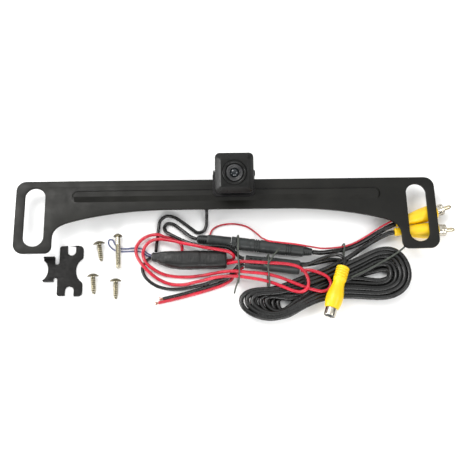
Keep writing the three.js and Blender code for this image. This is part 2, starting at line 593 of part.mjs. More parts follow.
const TAP_BLACK_ROUTE = [
  [11.2, -49.8, 3.8], [7.4, -51.4, 3.2], [3.6, -55, 2.9], [0.4, -59.2, 2.2], [-4, -62.4, 1.5],
  [-10, -64.5, 1.25], [-17, -66.7, 1.25], [-25, -68.9, 1.25], [-34, -71.2, 1.25], [-46, -74, 1.25],
];
const TRIGGER_ROUTE = [
  [119.4, -20, 6.4], [114, -22.6, 6], [107, -26.6, 5.2], [99, -31.6, 5], [91, -36.2, 5.8], [83, -39, 6.1],
  [74, -40.2, 6.3], [66, -40.9, 8.2], [58, -40, 9.8], [48, -38.4, 10.7], [37, -36.9, 10.7], [28.5, -35.5, 10.6],
  [25.6, -33.4, 8.8], [24, -31, 5], [21, -26.4, 1.4], [14, -21, 0.8], [4, -18.8, 0.8], [-6, -20.2, 0.8],
  [-10.6, -23.2, 0.9], [-12.4, -27.4, 1.4],
];
const LOOP_WIRE_ROUTE = [
  [-54.6, -42.1, 1.9], [-57.5, -40, 0.8], [-61, -37, 0.6], [-66.5, -36.1, 0.6], [-72, -36.6, 0.6],
  [-77, -36.2, 0.6], [-80.4, -33.2, 0.6], [-82.2, -29.8, 0.6], [-84.6, -29.8, 0.6], [-85, -32.6, 0.6],
  [-81.6, -36.8, 0.6], [-77, -38.6, 0.6], [-71, -38.7, 0.6], [-66, -38.5, 0.6], [-61, -39.4, 0.6],
  [-57.6, -42, 0.8], [-54.6, -43.1, 1.1],
];

function cords() {
  return [
    piece('camera_cord', tube(CAMERA_CORD_ROUTE, CAMERA_CORD), CORD_BLACK),
    piece('module_cable', tube(MODULE_CABLE_ROUTE, MODULE_CABLE), CORD_BLACK),
    piece('plug_a_cord', tube(PLUG_A_CORD_ROUTE, VIDEO_CABLE), CORD_BLACK),
    piece('video_tail_plug', tube(VIDEO_TAIL_PLUG_ROUTE, VIDEO_CABLE), CORD_BLACK),
    piece('video_tail_joint', tube(VIDEO_TAIL_JOINT_ROUTE, VIDEO_CABLE), CORD_BLACK),
    piece('jack_cord', tube(JACK_CORD_ROUTE, MODULE_CABLE), CORD_BLACK),
    piece('red_lead_a', tube(RED_LEAD_A_ROUTE, POWER_WIRE), CORD_RED),
    piece('red_lead_b', tube(RED_LEAD_B_ROUTE, POWER_WIRE), CORD_RED),
    piece('black_lead', tube(BLACK_LEAD_ROUTE, POWER_WIRE), CORD_BLACK),
    piece('tap_red', tube(TAP_RED_ROUTE, TAP_WIRE), CORD_RED),
    piece('tap_black', tube(TAP_BLACK_ROUTE, TAP_WIRE), CORD_BLACK),
    piece('trigger_wire', tube(TRIGGER_ROUTE, TRIGGER_WIRE), CORD_RED),
    piece('loop_wire', tube(LOOP_WIRE_ROUTE, LOOP_WIRE), CORD_BLUE),
  ];
}

// ---------------------------------------------------------------- twist ties round the harness
/** Tie that runs round the bundle in the plane of one X, through [y, z] points. */
function bundleTie(name, x, section) {
  const points = section.map(([y, z]) => [x, y, z]);
  return piece(name, wireRing(points, TIE_WIRE), DARK_RUBBER);
}

function ties() {
  return [
    bundleTie('bundle_tie_1', 7.3, [
      [-30, 6.4], [-31.6, 10.4], [-35.6, 12], [-43, 12], [-49, 13], [-53, 13], [-57.6, 12],
      [-61.8, 11.4], [-63.9, 8], [-63.9, 3.4], [-61, 1.1], [-50, 0.9], [-40, 0.9], [-33.4, 1], [-30.6, 2.8],
    ]),
    bundleTie('bundle_tie_2', 28, [
      [-45.4, 6.6], [-46.4, 11.4], [-49.4, 14.5], [-53.2, 15.2], [-56.8, 13.6], [-62, 12], [-66.6, 11.6],
      [-67.9, 8.8], [-67.6, 3.2], [-64.8, 1], [-56, 0.85], [-49.4, 0.9], [-46.2, 2.8],
    ]),
    bundleTie('bundle_tie_3', 82.6, [
      [-37, 4.2], [-37.6, 7.2], [-40.4, 8], [-43.6, 7.2], [-46.2, 5.6], [-46.4, 2.4], [-44.2, 0.9],
      [-40, 0.85], [-37.5, 1.9],
    ]),
    piece('loose_tie', tube([
      [85.6, -63.2, 9.7], [95.7, -58.6, 9.7], [106.7, -53, 9.7], [117.4, -47, 9.7], [124.6, -41.8, 9.6],
      [127.4, -38.6, 9.3],
    ], 1.6), DARK_RUBBER),
  ];
}

// ---------------------------------------------------------------- loose fixings
function clipPlate() {
  const shape = new THREE.Shape();
  shape.moveTo(-5.8, 6.2);
  shape.lineTo(-5.8, 16.6);
  shape.quadraticCurveTo(-5.8, 18.4, -4, 18.4);
  shape.lineTo(-0.2, 18.4);
  shape.lineTo(-0.2, 14.2);
  shape.absarc(2.7, 14.2, 2.9, 180 * DEG, 360 * DEG, false);
  shape.lineTo(5.6, 18.4);
  shape.lineTo(8.4, 18.4);
  shape.quadraticCurveTo(11, 18.4, 11, 15.4);
  shape.lineTo(11, 10.4);
  shape.quadraticCurveTo(11, 9, 9.6, 8);
  shape.bezierCurveTo(5, 4.6, 5, -4.4, 9.6, -7.8);
  shape.quadraticCurveTo(11, -8.8, 11, -10.4);
  shape.lineTo(11, -15.8);
  shape.quadraticCurveTo(11, -18.7, 8.4, -18.7);
  shape.lineTo(5, -18.7);
  shape.lineTo(5, -14.4);
  shape.absarc(2, -14.4, 3, 0, 180 * DEG, false);
  shape.lineTo(-1, -18.2);
  shape.lineTo(-5, -18.2);
  shape.quadraticCurveTo(-6.7, -18.2, -6.7, -16.6);
  shape.lineTo(-6.7, -6.2);
  shape.absarc(-8, -6.2, 1.3, 0, 180 * DEG, false);
  shape.lineTo(-9.3, -8);
  shape.lineTo(-16.6, -8);
  shape.lineTo(-16.6, -6.4);
  shape.bezierCurveTo(-12.4, -3, -12.4, 4.6, -16.6, 7.6);
  shape.lineTo(-16.6, 10);
  shape.lineTo(-8.8, 10);
  shape.lineTo(-8.8, 6.2);
  shape.absarc(-7.3, 6.2, 1.5, 180 * DEG, 360 * DEG, false);
  shape.closePath();
  const sheet = plate(shape, 0.2, 1.7, 5);
  const upperEar = block(-16.6, -8.8, 8.6, 10, 0.8, 4);
  const lowerEar = block(-16.6, -9.3, -8, -6.6, 0.8, 4);
  const clip = piece('clip_plate', join(sheet, upperEar, lowerEar), BLACK_PAINT);
  clip.position.set(-113.4, -52.6, 0);
  return clip;
}

/** Screw or bolt lying on its head's rim: head along +Z, shank from 0 down to -length. */
function fixing(name, head, shank, length, point, from, to) {
  const profile = [
    [0, -length], [point, -length], [shank, -length + (shank - point) * 1.8], [shank, -0.2], [head, 0],
    [head, 0.5], [head * 0.72, 1.7], [head * 0.3, 2.3], [0, 2.4],
  ];
  const screw = piece(name, cut(turned(profile, 14), ...crossRecess(2.4, 1.4, 3.4)), ZINC);
  return aim(screw, from, [from[0] - to[0], from[1] - to[1], from[2] - to[2]]);
}

function fixings() {
  return [
    fixing('short_screw_1', 4.2, 1.7, 12.4, 0.5, [-91.2, -34.2, 4.5], [-89.5, -46.4, 2.1]),
    fixing('short_screw_2', 4.2, 1.7, 12.4, 0.5, [-94.7, -58.2, 4.5], [-94, -70.4, 2.1]),
    fixing('short_screw_3', 4.2, 1.7, 12.4, 0.5, [-78.8, -62, 4.5], [-78.8, -74.2, 2.1]),
    fixing('long_bolt', 3.2, 1.8, 23.2, 1.5, [-78.1, -28.6, 3.7], [-77.4, -51.8, 2.5]),
  ];
}

// ---------------------------------------------------------------- whole kit
const kit = new THREE.Group();
kit.add(
  mountingBar(), cameraCradle(), rearClampBlock(), cordGrommet(), ...cradleScrews(), cameraPod(),
  ...inlineConnector(), harnessJoint(), filterBox(),
  ...phonoPlug('a', [121.3, -22.3, PLUG_Z], [0.956, 0.292, 0]),
  ...phonoPlug('b', [120, -28.6, PLUG_Z], [1, 0.027, 0]),
  ...phonoSocket(), videoHank(), ...cords(), ...ties(), clipPlate(), ...fixings(),
);

export default kit;
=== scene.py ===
# Number-plate backup camera kit laid out on a pale table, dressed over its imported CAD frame.
# Lengths below are in millimetres, in the frame of the CAD model, and become metres in the meshes.
import math
import random

import bmesh
import bpy
from mathutils import Matrix, Vector, noise


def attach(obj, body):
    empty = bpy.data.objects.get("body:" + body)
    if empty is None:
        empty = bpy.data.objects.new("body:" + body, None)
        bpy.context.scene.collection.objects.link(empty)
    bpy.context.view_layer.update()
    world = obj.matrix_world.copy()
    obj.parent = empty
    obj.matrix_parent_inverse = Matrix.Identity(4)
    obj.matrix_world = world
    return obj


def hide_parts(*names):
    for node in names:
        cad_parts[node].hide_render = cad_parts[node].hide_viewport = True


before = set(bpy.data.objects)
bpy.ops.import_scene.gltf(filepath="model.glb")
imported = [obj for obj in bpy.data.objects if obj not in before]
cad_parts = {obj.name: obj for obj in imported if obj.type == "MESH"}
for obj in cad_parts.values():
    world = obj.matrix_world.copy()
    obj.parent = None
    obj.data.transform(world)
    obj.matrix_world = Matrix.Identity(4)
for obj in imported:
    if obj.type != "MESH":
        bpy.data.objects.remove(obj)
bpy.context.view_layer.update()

MM = 0.001
ROOT = "bar_and_harness"
POD = "camera_pod"
DEG = math.pi / 180


# ---------------------------------------------------------------- camera
def make_camera():
    data = bpy.data.cameras.new("view")
    data.lens = 64.5
    data.sensor_width = 36
    data.clip_start = 0.02
    camera = bpy.data.objects.new("view", data)
    bpy.context.collection.objects.link(camera)
    back = Vector((-0.0284, -0.3419, 0.9393)).normalized()
    right = Vector((0.9995, -0.0227, 0.0219))
    right = (right - back * right.dot(back)).normalized()
    up = back.cross(right)
    turn = Matrix((right, up, back)).transposed().to_4x4()
    camera.matrix_world = Matrix.Translation((-0.01481, -0.22688, 0.55954)) @ turn
    bpy.context.scene.camera = camera
    return camera


camera = make_camera()


# ---------------------------------------------------------------- smooth routes
def spline(points, step=1.2, closed=False):
    """Centripetal Catmull-Rom line through the points, sampled about every `step` mm."""
    pts = [Vector(p) for p in points]
    n = len(pts)
    if closed:
        ring = [pts[-1]] + pts + [pts[0], pts[1]]
        spans = n
    else:
        ring = [pts[0] * 2 - pts[1]] + pts + [pts[-1] * 2 - pts[-2]]
        spans = n - 1
    line = []
    for i in range(spans):
        p0, p1, p2, p3 = ring[i:i + 4]
        t1 = math.sqrt(max((p1 - p0).length, 1e-6))
        t2 = t1 + math.sqrt(max((p2 - p1).length, 1e-6))
        t3 = t2 + math.sqrt(max((p3 - p2).length, 1e-6))
        count = max(2, round((p2 - p1).length / step))
        for j in range(count):
            t = t1 + (t2 - t1) * j / count
            a1 = p0 * ((t1 - t) / t1) + p1 * (t / t1)
            a2 = p1 * ((t2 - t) / (t2 - t1)) + p2 * ((t - t1) / (t2 - t1))
            a3 = p2 * ((t3 - t) / (t3 - t2)) + p3 * ((t - t2) / (t3 - t2))
            b1 = a1 * ((t2 - t) / t2) + a2 * (t / t2)
            b2 = a2 * ((t3 - t) / (t3 - t1)) + a3 * ((t - t1) / (t3 - t1))
            line.append(b1 * ((t2 - t) / (t2 - t1)) + b2 * ((t - t1) / (t2 - t1)))
    if not closed:
        line.append(pts[-1].copy())
    return line


# ---------------------------------------------------------------- materials
def socket(shader, name, value):
    shader.inputs[name].default_value = value


class Look:
    """Builder for one procedural material, with its patterns laid out in object space."""

    def __init__(self, name, color, roughness, metallic=0.0):
        self.material = bpy.data.materials.new(name)
        self.material.use_nodes = True
        self.tree = self.material.node_tree
        self.nodes = self.tree.nodes
        self.shader = self.nodes["Principled BSDF"]
        socket(self.shader, "Base Color", (*color, 1))
        socket(self.shader, "Roughness", roughness)
        socket(self.shader, "Metallic", metallic)
        self.color = color
        self.roughness = roughness
        self.coords = self.nodes.new("ShaderNodeTexCoord").outputs["Object"]
        self.last_normal = None

    def link(self, a, b):
        self.tree.links.new(a, b)

    def stretched(self, scale):
        mapping = self.nodes.new("ShaderNodeMapping")
        mapping.inputs["Scale"].default_value = scale
        self.link(self.coords, mapping.inputs["Vector"])
        return mapping.outputs["Vector"]

    def noise(self, per_mm, detail=3.0, rough=0.6, stretch=(1, 1, 1)):
        node = self.nodes.new("ShaderNodeTexNoise")
        node.inputs["Scale"].default_value = 1000 * per_mm
        node.inputs["Detail"].default_value = detail
        node.inputs["Roughness"].default_value = rough
        self.link(self.stretched(stretch), node.inputs["Vector"])
        return node.outputs["Fac"]

    def ramp(self, fac, stops):
        node = self.nodes.new("ShaderNodeValToRGB")
        elements = node.color_ramp.elements
        while len(elements) < len(stops):
            elements.new(0.5)
        for element, (place, value) in zip(elements, stops):
            element.position = place
            element.color = (*value, 1) if hasattr(value, "__len__") else (value, value, value, 1)
        self.link(fac, node.inputs["Fac"])
        return node.outputs["Color"]

    def mottle(self, per_mm, dark, light, detail=4.0, stretch=(1, 1, 1), low=0.35, high=0.68):
        """Base colour that wanders between two multiples of the main colour."""
        fac = self.noise(per_mm, detail, 0.6, stretch)
        stops = [(low, tuple(c * dark for c in self.color)),
                 (high, tuple(min(1, c * light) for c in self.color))]
        self.tint = self.ramp(fac, stops)
        self.link(self.tint, self.shader.inputs["Base Color"])
        return self

    def blend_color(self, fac, color):
        """Mixes another colour over the present one where fac is high."""
        mix = self.nodes.new("ShaderNodeMix")
        mix.data_type = "RGBA"
        self.link(fac, mix.inputs[0])
        self.link(self.tint, mix.inputs[6])
        mix.inputs[7].default_value = (*color, 1)
        self.tint = mix.outputs[2]
        self.link(self.tint, self.shader.inputs["Base Color"])
        return self

    def sheen_range(self, per_mm, low, high, detail=3.0, stretch=(1, 1, 1)):
        """Roughness that wanders between two values."""
        fac = self.noise(per_mm, detail, 0.6, stretch)
        self.link(self.ramp(fac, [(0.32, low), (0.7, high)]), self.shader.inputs["Roughness"])
        return self

    def bump(self, fac, height_mm, strength=1.0):
        node = self.nodes.new("ShaderNodeBump")
        node.inputs["Strength"].default_value = strength
        node.inputs["Distance"].default_value = height_mm * MM
        self.link(fac, node.inputs["Height"])
        if self.last_normal:
            self.link(self.last_normal, node.inputs["Normal"])
        self.last_normal = node.outputs["Normal"]
        self.link(self.last_normal, self.shader.inputs["Normal"])
        return self

    def grain(self, per_mm, height_mm, detail=3.0, stretch=(1, 1, 1), strength=1.0):
        return self.bump(self.noise(per_mm, detail, 0.6, stretch), height_mm, strength)


def bar_paint():
    """Satin black powder coat, faintly olive, with orange peel and dust."""
    look = Look("satin_black_coat", (0.0075, 0.0074, 0.0060), 0.4)
    look.mottle(0.045, 0.72, 1.35)
    look.blend_color(look.ramp(look.noise(0.9, 6, 0.75), [(0.62, 0.0), (0.8, 0.12)]), (0.09, 0.085, 0.075))
    look.sheen_range(0.12, 0.34, 0.52)
    look.grain(1.1, 0.035, 2.0)
    look.grain(5.0, 0.012, 2.0)
    socket(look.shader, "Specular IOR Level", 0.2)
    return look.material


def clip_coat():
    look = Look("charcoal_coat", (0.0060, 0.0057, 0.0054), 0.46)
    socket(look.shader, "Specular IOR Level", 0.18)
    look.mottle(0.2, 0.65, 1.5)
    look.blend_color(look.ramp(look.noise(1.6, 6, 0.8), [(0.62, 0.0), (0.78, 0.25)]), (0.08, 0.08, 0.076))
    look.sheen_range(0.5, 0.38, 0.62)
    look.grain(2.4, 0.05, 3.0)
    return look.material


def moulded(name, color, roughness, grain_mm=0.02, per_mm=3.2):
    """Dark injection-moulded plastic with a fine spark-eroded grain."""
    look = Look(name, color, roughness)
    socket(look.shader, "Specular IOR Level", 0.24)
    look.mottle(0.16, 0.8, 1.28)
    look.blend_color(look.ramp(look.noise(2.2, 6, 0.8), [(0.66, 0.0), (0.82, 0.18)]), (0.1, 0.1, 0.095))
    look.sheen_range(0.4, roughness - 0.07, roughness + 0.09)
    look.grain(per_mm, grain_mm, 2.0)
    return look.material


def sleeve_look():
    """Shrunk vinyl sleeve: fine crosswise creases and a soft sheen."""
    look = Look("shrink_sleeve", (0.006, 0.006, 0.0056), 0.4)
    socket(look.shader, "Specular IOR Level", 0.35)
    look.mottle(0.25, 0.7, 1.5)
    look.sheen_range(0.35, 0.28, 0.52, stretch=(0.5, 1.6, 1))
    look.grain(0.5, 0.32, 3.0, stretch=(2.2, 0.5, 1))
    look.grain(2.5, 0.04, 2.0)
    return look.material


def jacket(name, color, roughness, dusty=0.12, coat=0.15):
    """Extruded vinyl jacket with slow waviness and a little dust."""
    look = Look(name, color, roughness)
    socket(look.shader, "Specular IOR Level", 0.35)
    look.mottle(0.09, 0.78, 1.3)
    look.blend_color(look.ramp(look.noise(1.4, 5, 0.8), [(0.62, 0.0), (0.82, dusty)]), (0.12, 0.11, 0.1))
    look.sheen_range(0.3, roughness - 0.08, roughness + 0.1)
    look.grain(0.3, 0.05, 1.0)
    look.grain(4.0, 0.003, 2.0)
    socket(look.shader, "Coat Weight", coat)
    socket(look.shader, "Coat Roughness", 0.22)
    return look.material


def yellow_vinyl():
    """Soft yellow vinyl, a little deeper and redder in the mottling."""
    look = Look("yellow_vinyl", (0.80, 0.52, 0.002), 0.34)
    look.mottle(0.13, 0.94, 1.06)
    look.blend_color(look.ramp(look.noise(0.16, 3, 0.5), [(0.5, 0.0), (0.78, 0.35)]), (0.66, 0.32, 0.002))
    look.blend_color(look.ramp(look.noise(2.0, 6, 0.8), [(0.68, 0.0), (0.82, 0.25)]), (0.45, 0.24, 0.02))
    look.sheen_range(0.5, 0.28, 0.46)
    look.grain(2.6, 0.02, 2.0)
    socket(look.shader, "Subsurface Weight", 0.12)
    socket(look.shader, "Subsurface Radius", (0.9, 0.5, 0.1))
    socket(look.shader, "Subsurface Scale", 0.0012)
    return look.material


def plated(name, color, low, high, tarnish=(0.3, 0.22, 0.13), amount=0.35):
    """Plated metal with fine turning marks and spots of tarnish."""
    look = Look(name, color, low, 1.0)
    look.mottle(0.5, 0.82, 1.1)
    look.blend_color(look.ramp(look.noise(0.7, 6, 0.75), [(0.52, 0.0), (0.75, amount)]), tarnish)
    look.sheen_range(1.3, low, high)
    look.grain(3.0, 0.008, 3.0, stretch=(1, 1, 4))
    return look.material


def lens_look():
    look = Look("coated_glass", (0.008, 0.010, 0.011), 0.06)
    look.mottle(0.4, 0.8, 1.6)
    look.sheen_range(0.8, 0.03, 0.07)
    socket(look.shader, "IOR", 1.45)
    socket(look.shader, "Coat Weight", 0.25)
    socket(look.shader, "Coat Roughness", 0.02)
    socket(look.shader, "Coat Tint", (0.75, 0.82, 1.0, 1))
    return look.material


def plain(name, color, roughness, metallic=0.0):
    look = Look(name, color, roughness, metallic)
    look.mottle(0.4, 0.85, 1.15)
    look.sheen_range(0.8, roughness - 0.05, roughness + 0.08)
    look.grain(3.0, 0.015, 2.0)
    return look.material


BAR = bar_paint()
CLIP = clip_coat()
POD_PLASTIC = moulded("pod_plastic", (0.0065, 0.0066, 0.0062), 0.34)
BASE_PLASTIC = moulded("cradle_plastic", (0.0065, 0.0062, 0.0066), 0.42, 0.03, 2.2)
CONNECTOR = moulded("connector_overmould", (0.030, 0.033, 0.0325), 0.38, 0.012, 4.0)
SLEEVE = sleeve_look()
BLACK = jacket("black_jacket", (0.0045, 0.0045, 0.0042), 0.26, 0.03, 0.2)
RED = jacket("red_jacket", (0.43, 0.011, 0.028), 0.26, 0.05)
BLUE = jacket("blue_jacket", (0.035, 0.045, 0.15), 0.4, 0.1)
TIE = jacket("tie_wire", (0.050, 0.057, 0.046), 0.4, 0.2, 0.05)
YELLOW = yellow_vinyl()
NICKEL = plated("nickel_plate", (0.56, 0.52, 0.44), 0.14, 0.26, (0.2, 0.12, 0.06), 0.45)
PIN_METAL = plated("pin_plate", (0.55, 0.48, 0.34), 0.14, 0.26, (0.3, 0.2, 0.08), 0.3)
ZINC = plated("zinc_plate", (0.56, 0.53, 0.43), 0.14, 0.24, (0.2, 0.16, 0.08), 0.3)
# darker zinc for the screw heads, also used as painted shade in the thread grooves
ZINC_HEAD_AND_THREAD_SHADE = plated("zinc_head_and_thread_shade", (0.13, 0.112, 0.07), 0.14, 0.26, (0.05, 0.038, 0.016), 0.5)
BLACK_OXIDE = plated("black_oxide", (0.03, 0.03, 0.03), 0.35, 0.5, (0.06, 0.05, 0.04), 0.3)
COPPER = plated("tinned_copper", (0.45, 0.22, 0.14), 0.3, 0.42)
GLASS = lens_look()
BARREL = plain("barrel_black", (0.02, 0.02, 0.021), 0.35)
RUBBER = moulded("seal_rubber", (0.015, 0.015, 0.015), 0.6, 0.02, 3.0)
WHITE = plain("white_insulator", (0.72, 0.70, 0.62), 0.4)
GREY = plain("dark_insulator", (0.045, 0.05, 0.055), 0.35)
BOARD = plain("solder_mask", (0.015, 0.11, 0.045), 0.35)
CHIP = plain("sensor_cover", (0.03, 0.035, 0.05), 0.2)


# ---------------------------------------------------------------- mesh helpers
def finish_mesh(obj, angle=38):
    obj.data.shade_smooth()
    obj.data.set_sharp_from_angle(angle=angle * DEG)
    return obj


def new_object(name, bm, look, angle=38):
    bmesh.ops.recalc_face_normals(bm, faces=bm.faces)
    mesh = bpy.data.meshes.new(name)
    bm.to_mesh(mesh)
    bm.free()
    mesh.materials.append(look)
    obj = bpy.data.objects.new(name, mesh)
    bpy.context.collection.objects.link(obj)
    return finish_mesh(obj, angle)


def keep(obj, slot, *nodes, body=ROOT):
    """Says what a piece rides on and which CAD nodes it stands for; the finish slot is not used."""
    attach(obj, body)
    if nodes:
        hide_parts(*nodes)
    return obj


def aimed(foot, direction):
    """Transform that points +Z along a direction and puts the foot in place, from mm to metres."""
    turn = Vector((0, 0, 1)).rotation_difference(Vector(direction)).to_matrix().to_4x4()
    return Matrix.Scale(MM, 4) @ Matrix.Translation(foot) @ turn


def softened(profile, radius=0.25, steps=3):
    """Rounds the corners of a turned profile by a small radius."""
    out = [profile[0]]
    for before, corner, after in zip(profile, profile[1:], profile[2:]):
        a, p, b = Vector(before), Vector(corner), Vector(after)
        r = min(radius, 0.45 * (a - p).length, 0.45 * (b - p).length)
        if p.x < 1e-6 or r < 1e-4:
            out.append(corner)
            continue
        start = p + (a - p).normalized() * r
        end = p + (b - p).normalized() * r
        for i in range(steps + 1):
            t = i / steps
            q = start.lerp(p, t).lerp(p.lerp(end, t), t)
            out.append((q.x, q.y))
    out.append(profile[-1])
    return out


def lathe(name, profile, transform, look, segments=64, radius=0.25, wobble=None, ring=False):
    """Turned body from (radius, height) pairs; `wobble` may move a point by angle and height."""
    bm = bmesh.new()
    line = softened(profile + [profile[0]] if ring else profile, radius)
    if ring:
        line = line[:-1]
    rows = []
    for r, z in line:
        if r < 1e-6:
            rows.append([bm.verts.new(transform @ Vector((0, 0, z)))])
            continue
        row = []
        for k in range(segments):
            angle = 2 * math.pi * k / segments
            rr, zz = wobble(r, z, angle) if wobble else (r, z)
            row.append(bm.verts.new(transform @ Vector((rr * math.cos(angle), rr * math.sin(angle), zz))))
        rows.append(row)
    pairs = list(zip(rows, rows[1:])) + ([(rows[-1], rows[0])] if ring else [])
    for low, high in pairs:
        for k in range(segments):
            n = (k + 1) % segments
            if len(low) == 1 and len(high) == 1:
                continue
            if len(low) == 1:
                bm.faces.new((low[0], high[k], high[n]))
            elif len(high) == 1:
                bm.faces.new((low[k], low[n], high[0]))
            else:
                bm.faces.new((low[k], low[n], high[n], high[k]))
    return new_object(name, bm, look)


def arc(cx, cy, r, start, end, count=10):
    """Points of an arc between two angles in degrees."""
    return [(cx + r * math.cos((start + (end - start) * i / count) * DEG),
             cy + r * math.sin((start + (end - start) * i / count) * DEG)) for i in range(count + 1)]


def bezier(p0, p1, p2, p3, count=14):
    out = []
    for i in range(count + 1):
        t = i / count
        s = 1 - t
        out.append(tuple(s**3 * a + 3 * s * s * t * b + 3 * s * t * t * c + t**3 * d
                         for a, b, c, d in zip(p0, p1, p2, p3)))
    return out


def sheet_metal(name, outline, holes, z0, z1, edge, look):
    """Plate with rolled edges, from an outline and its holes."""
    data = bpy.data.curves.new(name, "CURVE")
    data.dimensions = "2D"
    data.fill_mode = "BOTH"
    for loop in [outline] + holes:
        path = data.splines.new("POLY")
        path.points.add(len(loop) - 1)
        for point, (x, y) in zip(path.points, loop):
            point.co = (x * MM, y * MM, 0, 1)
        path.use_cyclic_u = True
    data.extrude = ((z1 - z0) / 2 - edge) * MM
    data.bevel_depth = edge * MM
    data.offset = -edge * MM
    data.bevel_resolution = 3
    temp = bpy.data.objects.new(name, data)
    bpy.context.collection.objects.link(temp)
    mesh = bpy.data.meshes.new_from_object(temp.evaluated_get(bpy.context.evaluated_depsgraph_get()))
    bpy.data.objects.remove(temp)
    bm = bmesh.new()
    bm.from_mesh(mesh)
    bmesh.ops.remove_doubles(bm, verts=bm.verts, dist=1e-6)
    for v in bm.verts:
        v.co.z += (z0 + z1) / 2 * MM
    return new_object(name, bm, look, 30)


def refined(node, look, width=0.3, segments=2, name=None, angle=32):
    """Copy of a CAD node with its edges rounded over."""
    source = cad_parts[node]
    bm = bmesh.new()
    bm.from_mesh(source.data)
    bmesh.ops.remove_doubles(bm, verts=bm.verts, dist=1e-6)
    bmesh.ops.dissolve_limit(bm, angle_limit=1.5 * DEG, verts=bm.verts, edges=bm.edges)
    obj = new_object(name or node + "_finished", bm, look, angle)
    bevel = obj.modifiers.new("edges", "BEVEL")
    bevel.width = width * MM
    bevel.segments = segments
    bevel.limit_method = "ANGLE"
    bevel.angle_limit = angle * DEG
    bevel.use_clamp_overlap = True
    bevel.harden_normals = False
    return obj


def baked(obj):
    """Applies the modifiers of a piece."""
    mesh = bpy.data.meshes.new_from_object(obj.evaluated_get(bpy.context.evaluated_depsgraph_get()))
    obj.modifiers.clear()
    obj.data = mesh
    return obj


def wire(name, line, diameter, look, cyclic=False):
    """Round wire or cord along a line of points in mm."""
    data = bpy.data.curves.new(name, "CURVE")
    data.dimensions = "3D"
    path = data.splines.new("POLY")
    path.points.add(len(line) - 1)
    for point, p in zip(path.points, line):
        point.co = (p.x * MM, p.y * MM, p.z * MM, 1)
    path.use_cyclic_u = cyclic
    path.use_smooth = True
    data.bevel_depth = diameter / 2 * MM
    data.bevel_resolution = 4
    data.use_fill_caps = True
    data.materials.append(look)
    obj = bpy.data.objects.new(name, data)
    bpy.context.collection.objects.link(obj)
    return obj


# ---------------------------------------------------------------- cords: routes shared with the CAD model
CAMERA_CORD, MODULE_CABLE, VIDEO_CABLE = 2.4, 2.5, 3.4
POWER_WIRE, TAP_WIRE, TRIGGER_WIRE, LOOP_WIRE, TIE_WIRE = 2.3, 2.2, 1.2, 0.9, 1.2

CAMERA_CORD_ROUTE = [
    (-14.6, -9.7, 5.6), (-14.6, -12.5, 4.6), (-14.7, -16, 2.6), (-15, -20, 1.6), (-17, -24.3, 1.4),
    (-21.2, -25.4, 1.4), (-26, -22.1, 1.4), (-32, -17.4, 1.4), (-38, -13.4, 1.4), (-43.8, -12.4, 1.4),
    (-48.2, -16.2, 1.4), (-49.4, -22.5, 1.4), (-50, -29, 1.4), (-50.6, -35, 2.4), (-50.8, -40.2, 4.6),
]
MODULE_CABLE_ROUTE = [
    (-22.3, -31.8, 6.1), (-25.4, -30.2, 5), (-29.5, -26.4, 2.8), (-34.5, -21.9, 1.6),
    (-39.2, -18.6, 1.4), (-43, -18.4, 1.4), (-45.2, -21.2, 1.6), (-44, -24.8, 2.7), (-41, -27.4, 4.4),
    (-37.6, -29.5, 5), (-31, -33.2, 5.8), (-23, -36.6, 7.8), (-14, -38.4, 9.8), (-5, -39, 10.4),
    (1.2, -40.4, 10), (5.6, -44, 8.4), (8.4, -46.6, 7.8), (11.3, -47.3, 7.6),
]
PLUG_A_CORD_ROUTE = [
    (60.3, -43, 6.1), (66, -43.2, 5), (74, -41.8, 3.4), (83, -40.4, 3.3), (91, -37.6, 3.2), (99, -33.5, 2.6),
    (107, -28.9, 3), (114, -25.4, 4.4), (120.8, -22.5, 5.9),
]
VIDEO_TAIL_PLUG_ROUTE = [
    (119.6, -28.8, 5.9), (113, -30.2, 5), (106, -33.6, 3.2), (97.5, -38.7, 3.3), (88, -43.3, 3.3),
]
VIDEO_TAIL_JOINT_ROUTE = [
    (51.2, -52.2, 6.4), (57, -51.8, 5.2), (66, -49.8, 3.6), (74, -46.9, 3.3), (80.4, -45.2, 3.3),
]
JACK_CORD_ROUTE = [
    (50.9, -54.2, 9.8), (57, -52.6, 9.6), (64, -49.4, 8.4), (71, -46.9, 8.4), (77, -46.5, 9.8),
    (80.6, -49, 12),
    (81.4, -52.7, 13.9), (79.9, -56.7, 14.8),
]
RED_LEAD_A_ROUTE = [
    (-0.6, -47.6, 3.4), (2, -47.6, 4.3), (4, -47.1, 7), (3.8, -45.8, 10), (1, -44.1, 12.2),
    (-3.5, -42.9, 12.8),
    (-14.7, -40.8, 12.8), (-23, -38.6, 11.6), (-31, -36, 9.2), (-39.5, -33, 6.4), (-50, -31, 4.3),
    (-56.7, -33.4, 3), (-60, -39.2, 2.8), (-59.8, -44, 3.7), (-57.5, -48.8, 4), (-53, -52.6, 3.1),
    (-47, -55.8, 1.7), (-40.4, -57.7, 1.3), (-28, -58.5, 1.3), (-19, -58, 2.2), (-10.7, -57.3, 4.6),
    (-3, -56.9, 7.4), (4, -57.1, 9.2), (15, -58.2, 9.3), (27.4, -59.8, 9.4), (38, -63.2, 9.8),
    (49.4, -68.3, 10.3),
    (58, -71.6, 10.3), (65.4, -73, 10.3), (69.6, -71.2, 10.3), (71, -67.6, 10.3), (69.4, -63.4, 10.4),
    (65, -60.4, 10.6), (60.5, -58.6, 10.7), (56.3, -57.4, 9.9), (51, -57.2, 8),
]
